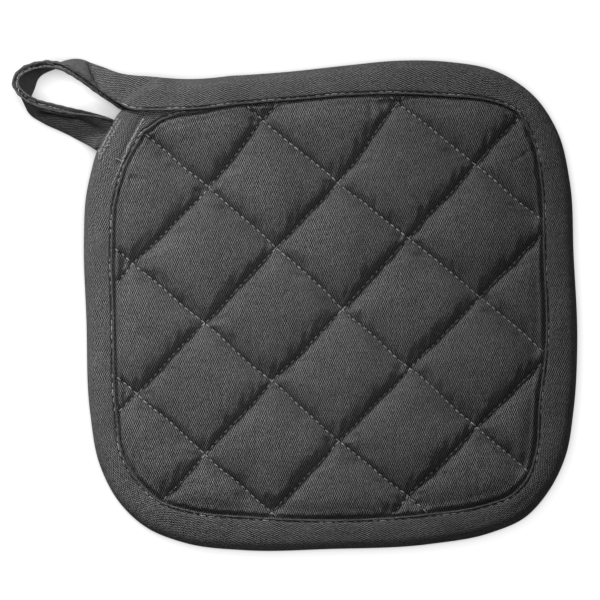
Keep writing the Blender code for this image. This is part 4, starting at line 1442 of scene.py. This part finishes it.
class HOLDER_OT_pad(bpy.types.Operator):
    """Make the quilted pad."""

    bl_idname = "pot_holder.pad"
    bl_label = "Quilted pad"

    def execute(self, context):
        twill_ready()
        settings = context.scene.holder_pad
        pad = make_pad(settings)
        pad.data.materials.clear()
        pad.data.materials.append(
            twill_material("quilting_twill", settings.colour, PAD_WEAVE)
        )
        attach(pad, "root")
        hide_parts("quilted_pad")
        return {"FINISHED"}


class HOLDER_OT_strip(bpy.types.Operator):
    """Make the strip that binds the edge and forms the loop, with its stitches."""

    bl_idname = "pot_holder.strip"
    bl_label = "Bound edge and loop"

    def execute(self, context):
        twill_ready()
        settings = context.scene.holder_strip
        thread_settings = context.scene.holder_thread
        strip, seams, ups, length = make_strip(settings)
        strip.data.materials.append(
            twill_material("binding_twill", settings.colour, STRIP_WEAVE, uv_map="cloth")
        )
        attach(strip, "root")
        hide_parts("binding", "hanging_loop")

        thread = thread_material("edge_thread", thread_settings.edge_colour)
        rows = []
        for side, way in ((0, 1.0), (1, -1.0)):
            line = even_path(np.column_stack((seams[:, side], ups * way)), settings.stitch)
            rows.append((line[:, :3], line[:, 3:]))
        stitches = stitched(
            "edge_stitches", rows, settings.stitch * THREAD_SHOWN, thread_settings.thickness,
            SHALLOW_DIVE, EDGE_WANDER, EDGE_SEED, thread,
        )
        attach(stitches, "root")
        return {"FINISHED"}


class HOLDER_OT_quilting(bpy.types.Operator):
    """Sew the crossing lines of quilting, on the front and the back."""

    bl_idname = "pot_holder.quilting"
    bl_label = "Quilting stitches"

    def execute(self, context):
        settings = context.scene.holder_thread
        fold, _, width = bound_edge(FOLD_SPACING)
        surface = surface_tree(bpy.data.objects["quilted_pad_cloth"])
        rows = []
        for slant, above in (("rising", RISING_THREAD), ("falling", FALLING_THREAD)):
            lines = [
                seam_line(seam, slant, settings.quilting, fold, width)
                for seam in range(1, LINES + 1)
            ]
            rows += surface_rows(lines, surface, 1, above) + surface_rows(lines, surface, -1)
        thread = thread_material("quilting_thread", settings.colour)
        stitches = stitched(
            "quilting_stitches", rows, settings.quilting * THREAD_SHOWN, settings.thickness,
            DEEP_DIVE, QUILTING_WANDER, QUILTING_SEED, thread,
        )
        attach(stitches, "root")
        return {"FINISHED"}


class HOLDER_OT_corner(bpy.types.Operator):
    """Sew the rows that hold the loop's end under the corner, with their loose ends."""

    bl_idname = "pot_holder.corner"
    bl_label = "Corner stitches"

    def execute(self, context):
        settings = context.scene.holder_thread
        surface = surface_tree(bpy.data.objects["edging_strip"])
        thread = thread_material("corner_thread", settings.corner_colour)
        meshes = []
        for row in SEWN_ROWS:
            rows = surface_rows([even_path(row.points, row.spacing)], surface, 1)
            thickness = settings.thickness * row.thickness
            part = stitched(
                "row", rows, row.length, thickness, SHALLOW_DIVE, row.wander, row.seed, thread
            )
            meshes.append(part.data)
            bpy.data.objects.remove(part)
        for end in LOOSE_ENDS:
            (points, _), = surface_rows([[point[:2] for point in end]], surface, 1)
            raised = [(x, y, z + point[2]) for (x, y, z), point in zip(points, end)]
            meshes.append(tube("loose_end", raised, settings.thickness * LOOSE_THREAD, thread))
        joined = bmesh.new()
        for mesh in meshes:
            joined.from_mesh(mesh)
        mesh = bpy.data.meshes.new("corner_stitches")
        joined.to_mesh(mesh)
        joined.free()
        mesh.shade_smooth()
        mesh.materials.append(thread)
        stitches = show("corner_stitches", mesh)
        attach(stitches, "root")
        return {"FINISHED"}


class HOLDER_OT_stage(bpy.types.Operator):
    """Set the floor, the soft lights and the camera."""

    bl_idname = "pot_holder.stage"
    bl_label = "Floor, lights and camera"

    def execute(self, context):
        scene = context.scene
        settings = scene.holder_stage
        scene.view_settings.view_transform = "Standard"

        floor = show("floor", new_mesh("floor", [
            (-FLOOR_HALF, -FLOOR_HALF, 0.0), (FLOOR_HALF, -FLOOR_HALF, 0.0),
            (FLOOR_HALF, FLOOR_HALF, 0.0), (-FLOOR_HALF, FLOOR_HALF, 0.0),
        ], [(0, 1, 2, 3)]))
        paper, nodes, shader = surface_material(
            "floor_paper", roughness=0.9, sheen=0.0, sheen_roughness=0.5, specular=0.0
        )
        shader.inputs["Base Color"].default_value = FLOOR_COLOUR
        # painted contact shade: the floor glows, and ambient occlusion dims that glow near the
        # cloth
        shade = nodes.add("ShaderNodeAmbientOcclusion", {"Distance": PAINTED_CONTACT_SHADE}, samples=16)
        nodes.put(shader.inputs["Emission Color"], shade.outputs["Color"])
        shader.inputs["Emission Strength"].default_value = settings.floor
        floor.data.materials.append(paper)
        floor.location.z = -FLOOR_DROP * MM
        floor.visible_diffuse = False

        world = bpy.data.worlds.new("studio")
        world.use_nodes = True
        background = world.node_tree.nodes["Background"]
        background.inputs["Color"].default_value = (1.0, 1.0, 1.0, 1.0)
        background.inputs["Strength"].default_value = settings.fill
        scene.world = world

        for name, place, aim, spread in LAMPS:
            light = bpy.data.lights.new(name, "AREA")
            light.shape = "DISK"
            light.size = LAMP_SIZE
            light.spread = spread
            light.energy = getattr(settings, name)
            lamp = bpy.data.objects.new(name, light)
            lamp.location = place
            back = Vector(place) - Vector(aim)
            lamp.rotation_euler = back.to_track_quat("Z", "Y").to_euler()
            scene.collection.objects.link(lamp)

        lens = bpy.data.cameras.new("camera")
        lens.sensor_width = 36.0
        lens.lens = lens.sensor_width * CAMERA_HEIGHT / PICTURE_WIDTH
        lens.clip_end = 2 * CAMERA_HEIGHT
        camera = bpy.data.objects.new("camera", lens)
        camera.location = (*PICTURE_MIDDLE, CAMERA_HEIGHT)
        scene.collection.objects.link(camera)
        scene.camera = camera
        return {"FINISHED"}


OPERATORS = (
    HOLDER_OT_pad, HOLDER_OT_strip, HOLDER_OT_quilting, HOLDER_OT_corner, HOLDER_OT_stage,
)


class HOLDER_PT_panel(bpy.types.Panel):
    """The steps of the pot holder, in order, and its sizes."""

    bl_label = "Pot holder"
    bl_idname = "HOLDER_PT_panel"
    bl_space_type = "VIEW_3D"
    bl_region_type = "UI"
    bl_category = "Pot Holder"

    def draw(self, context):
        layout = self.layout
        for operator in OPERATORS:
            layout.operator(operator.bl_idname)
        for name, group in SETTINGS.items():
            box = layout.box()
            box.label(text=group.__doc__)
            for value in group.__annotations__:
                box.prop(getattr(context.scene, name), value)


CLASSES = (*SETTINGS.values(), *OPERATORS, HOLDER_PT_panel)


def register():
    """Add the classes and the settings of the scene."""
    for item in CLASSES:
        bpy.utils.register_class(item)
    for name, group in SETTINGS.items():
        setattr(bpy.types.Scene, name, bpy.props.PointerProperty(type=group))


def unregister():
    """Take them out again."""
    for name in SETTINGS:
        delattr(bpy.types.Scene, name)
    for item in reversed(CLASSES):
        bpy.utils.unregister_class(item)


def main():
    """Make every piece and set the stage."""
    register()
    bpy.ops.pot_holder.pad()
    bpy.ops.pot_holder.strip()
    bpy.ops.pot_holder.quilting()
    bpy.ops.pot_holder.corner()
    bpy.ops.pot_holder.stage()


if __name__ == "__main__":
    main()
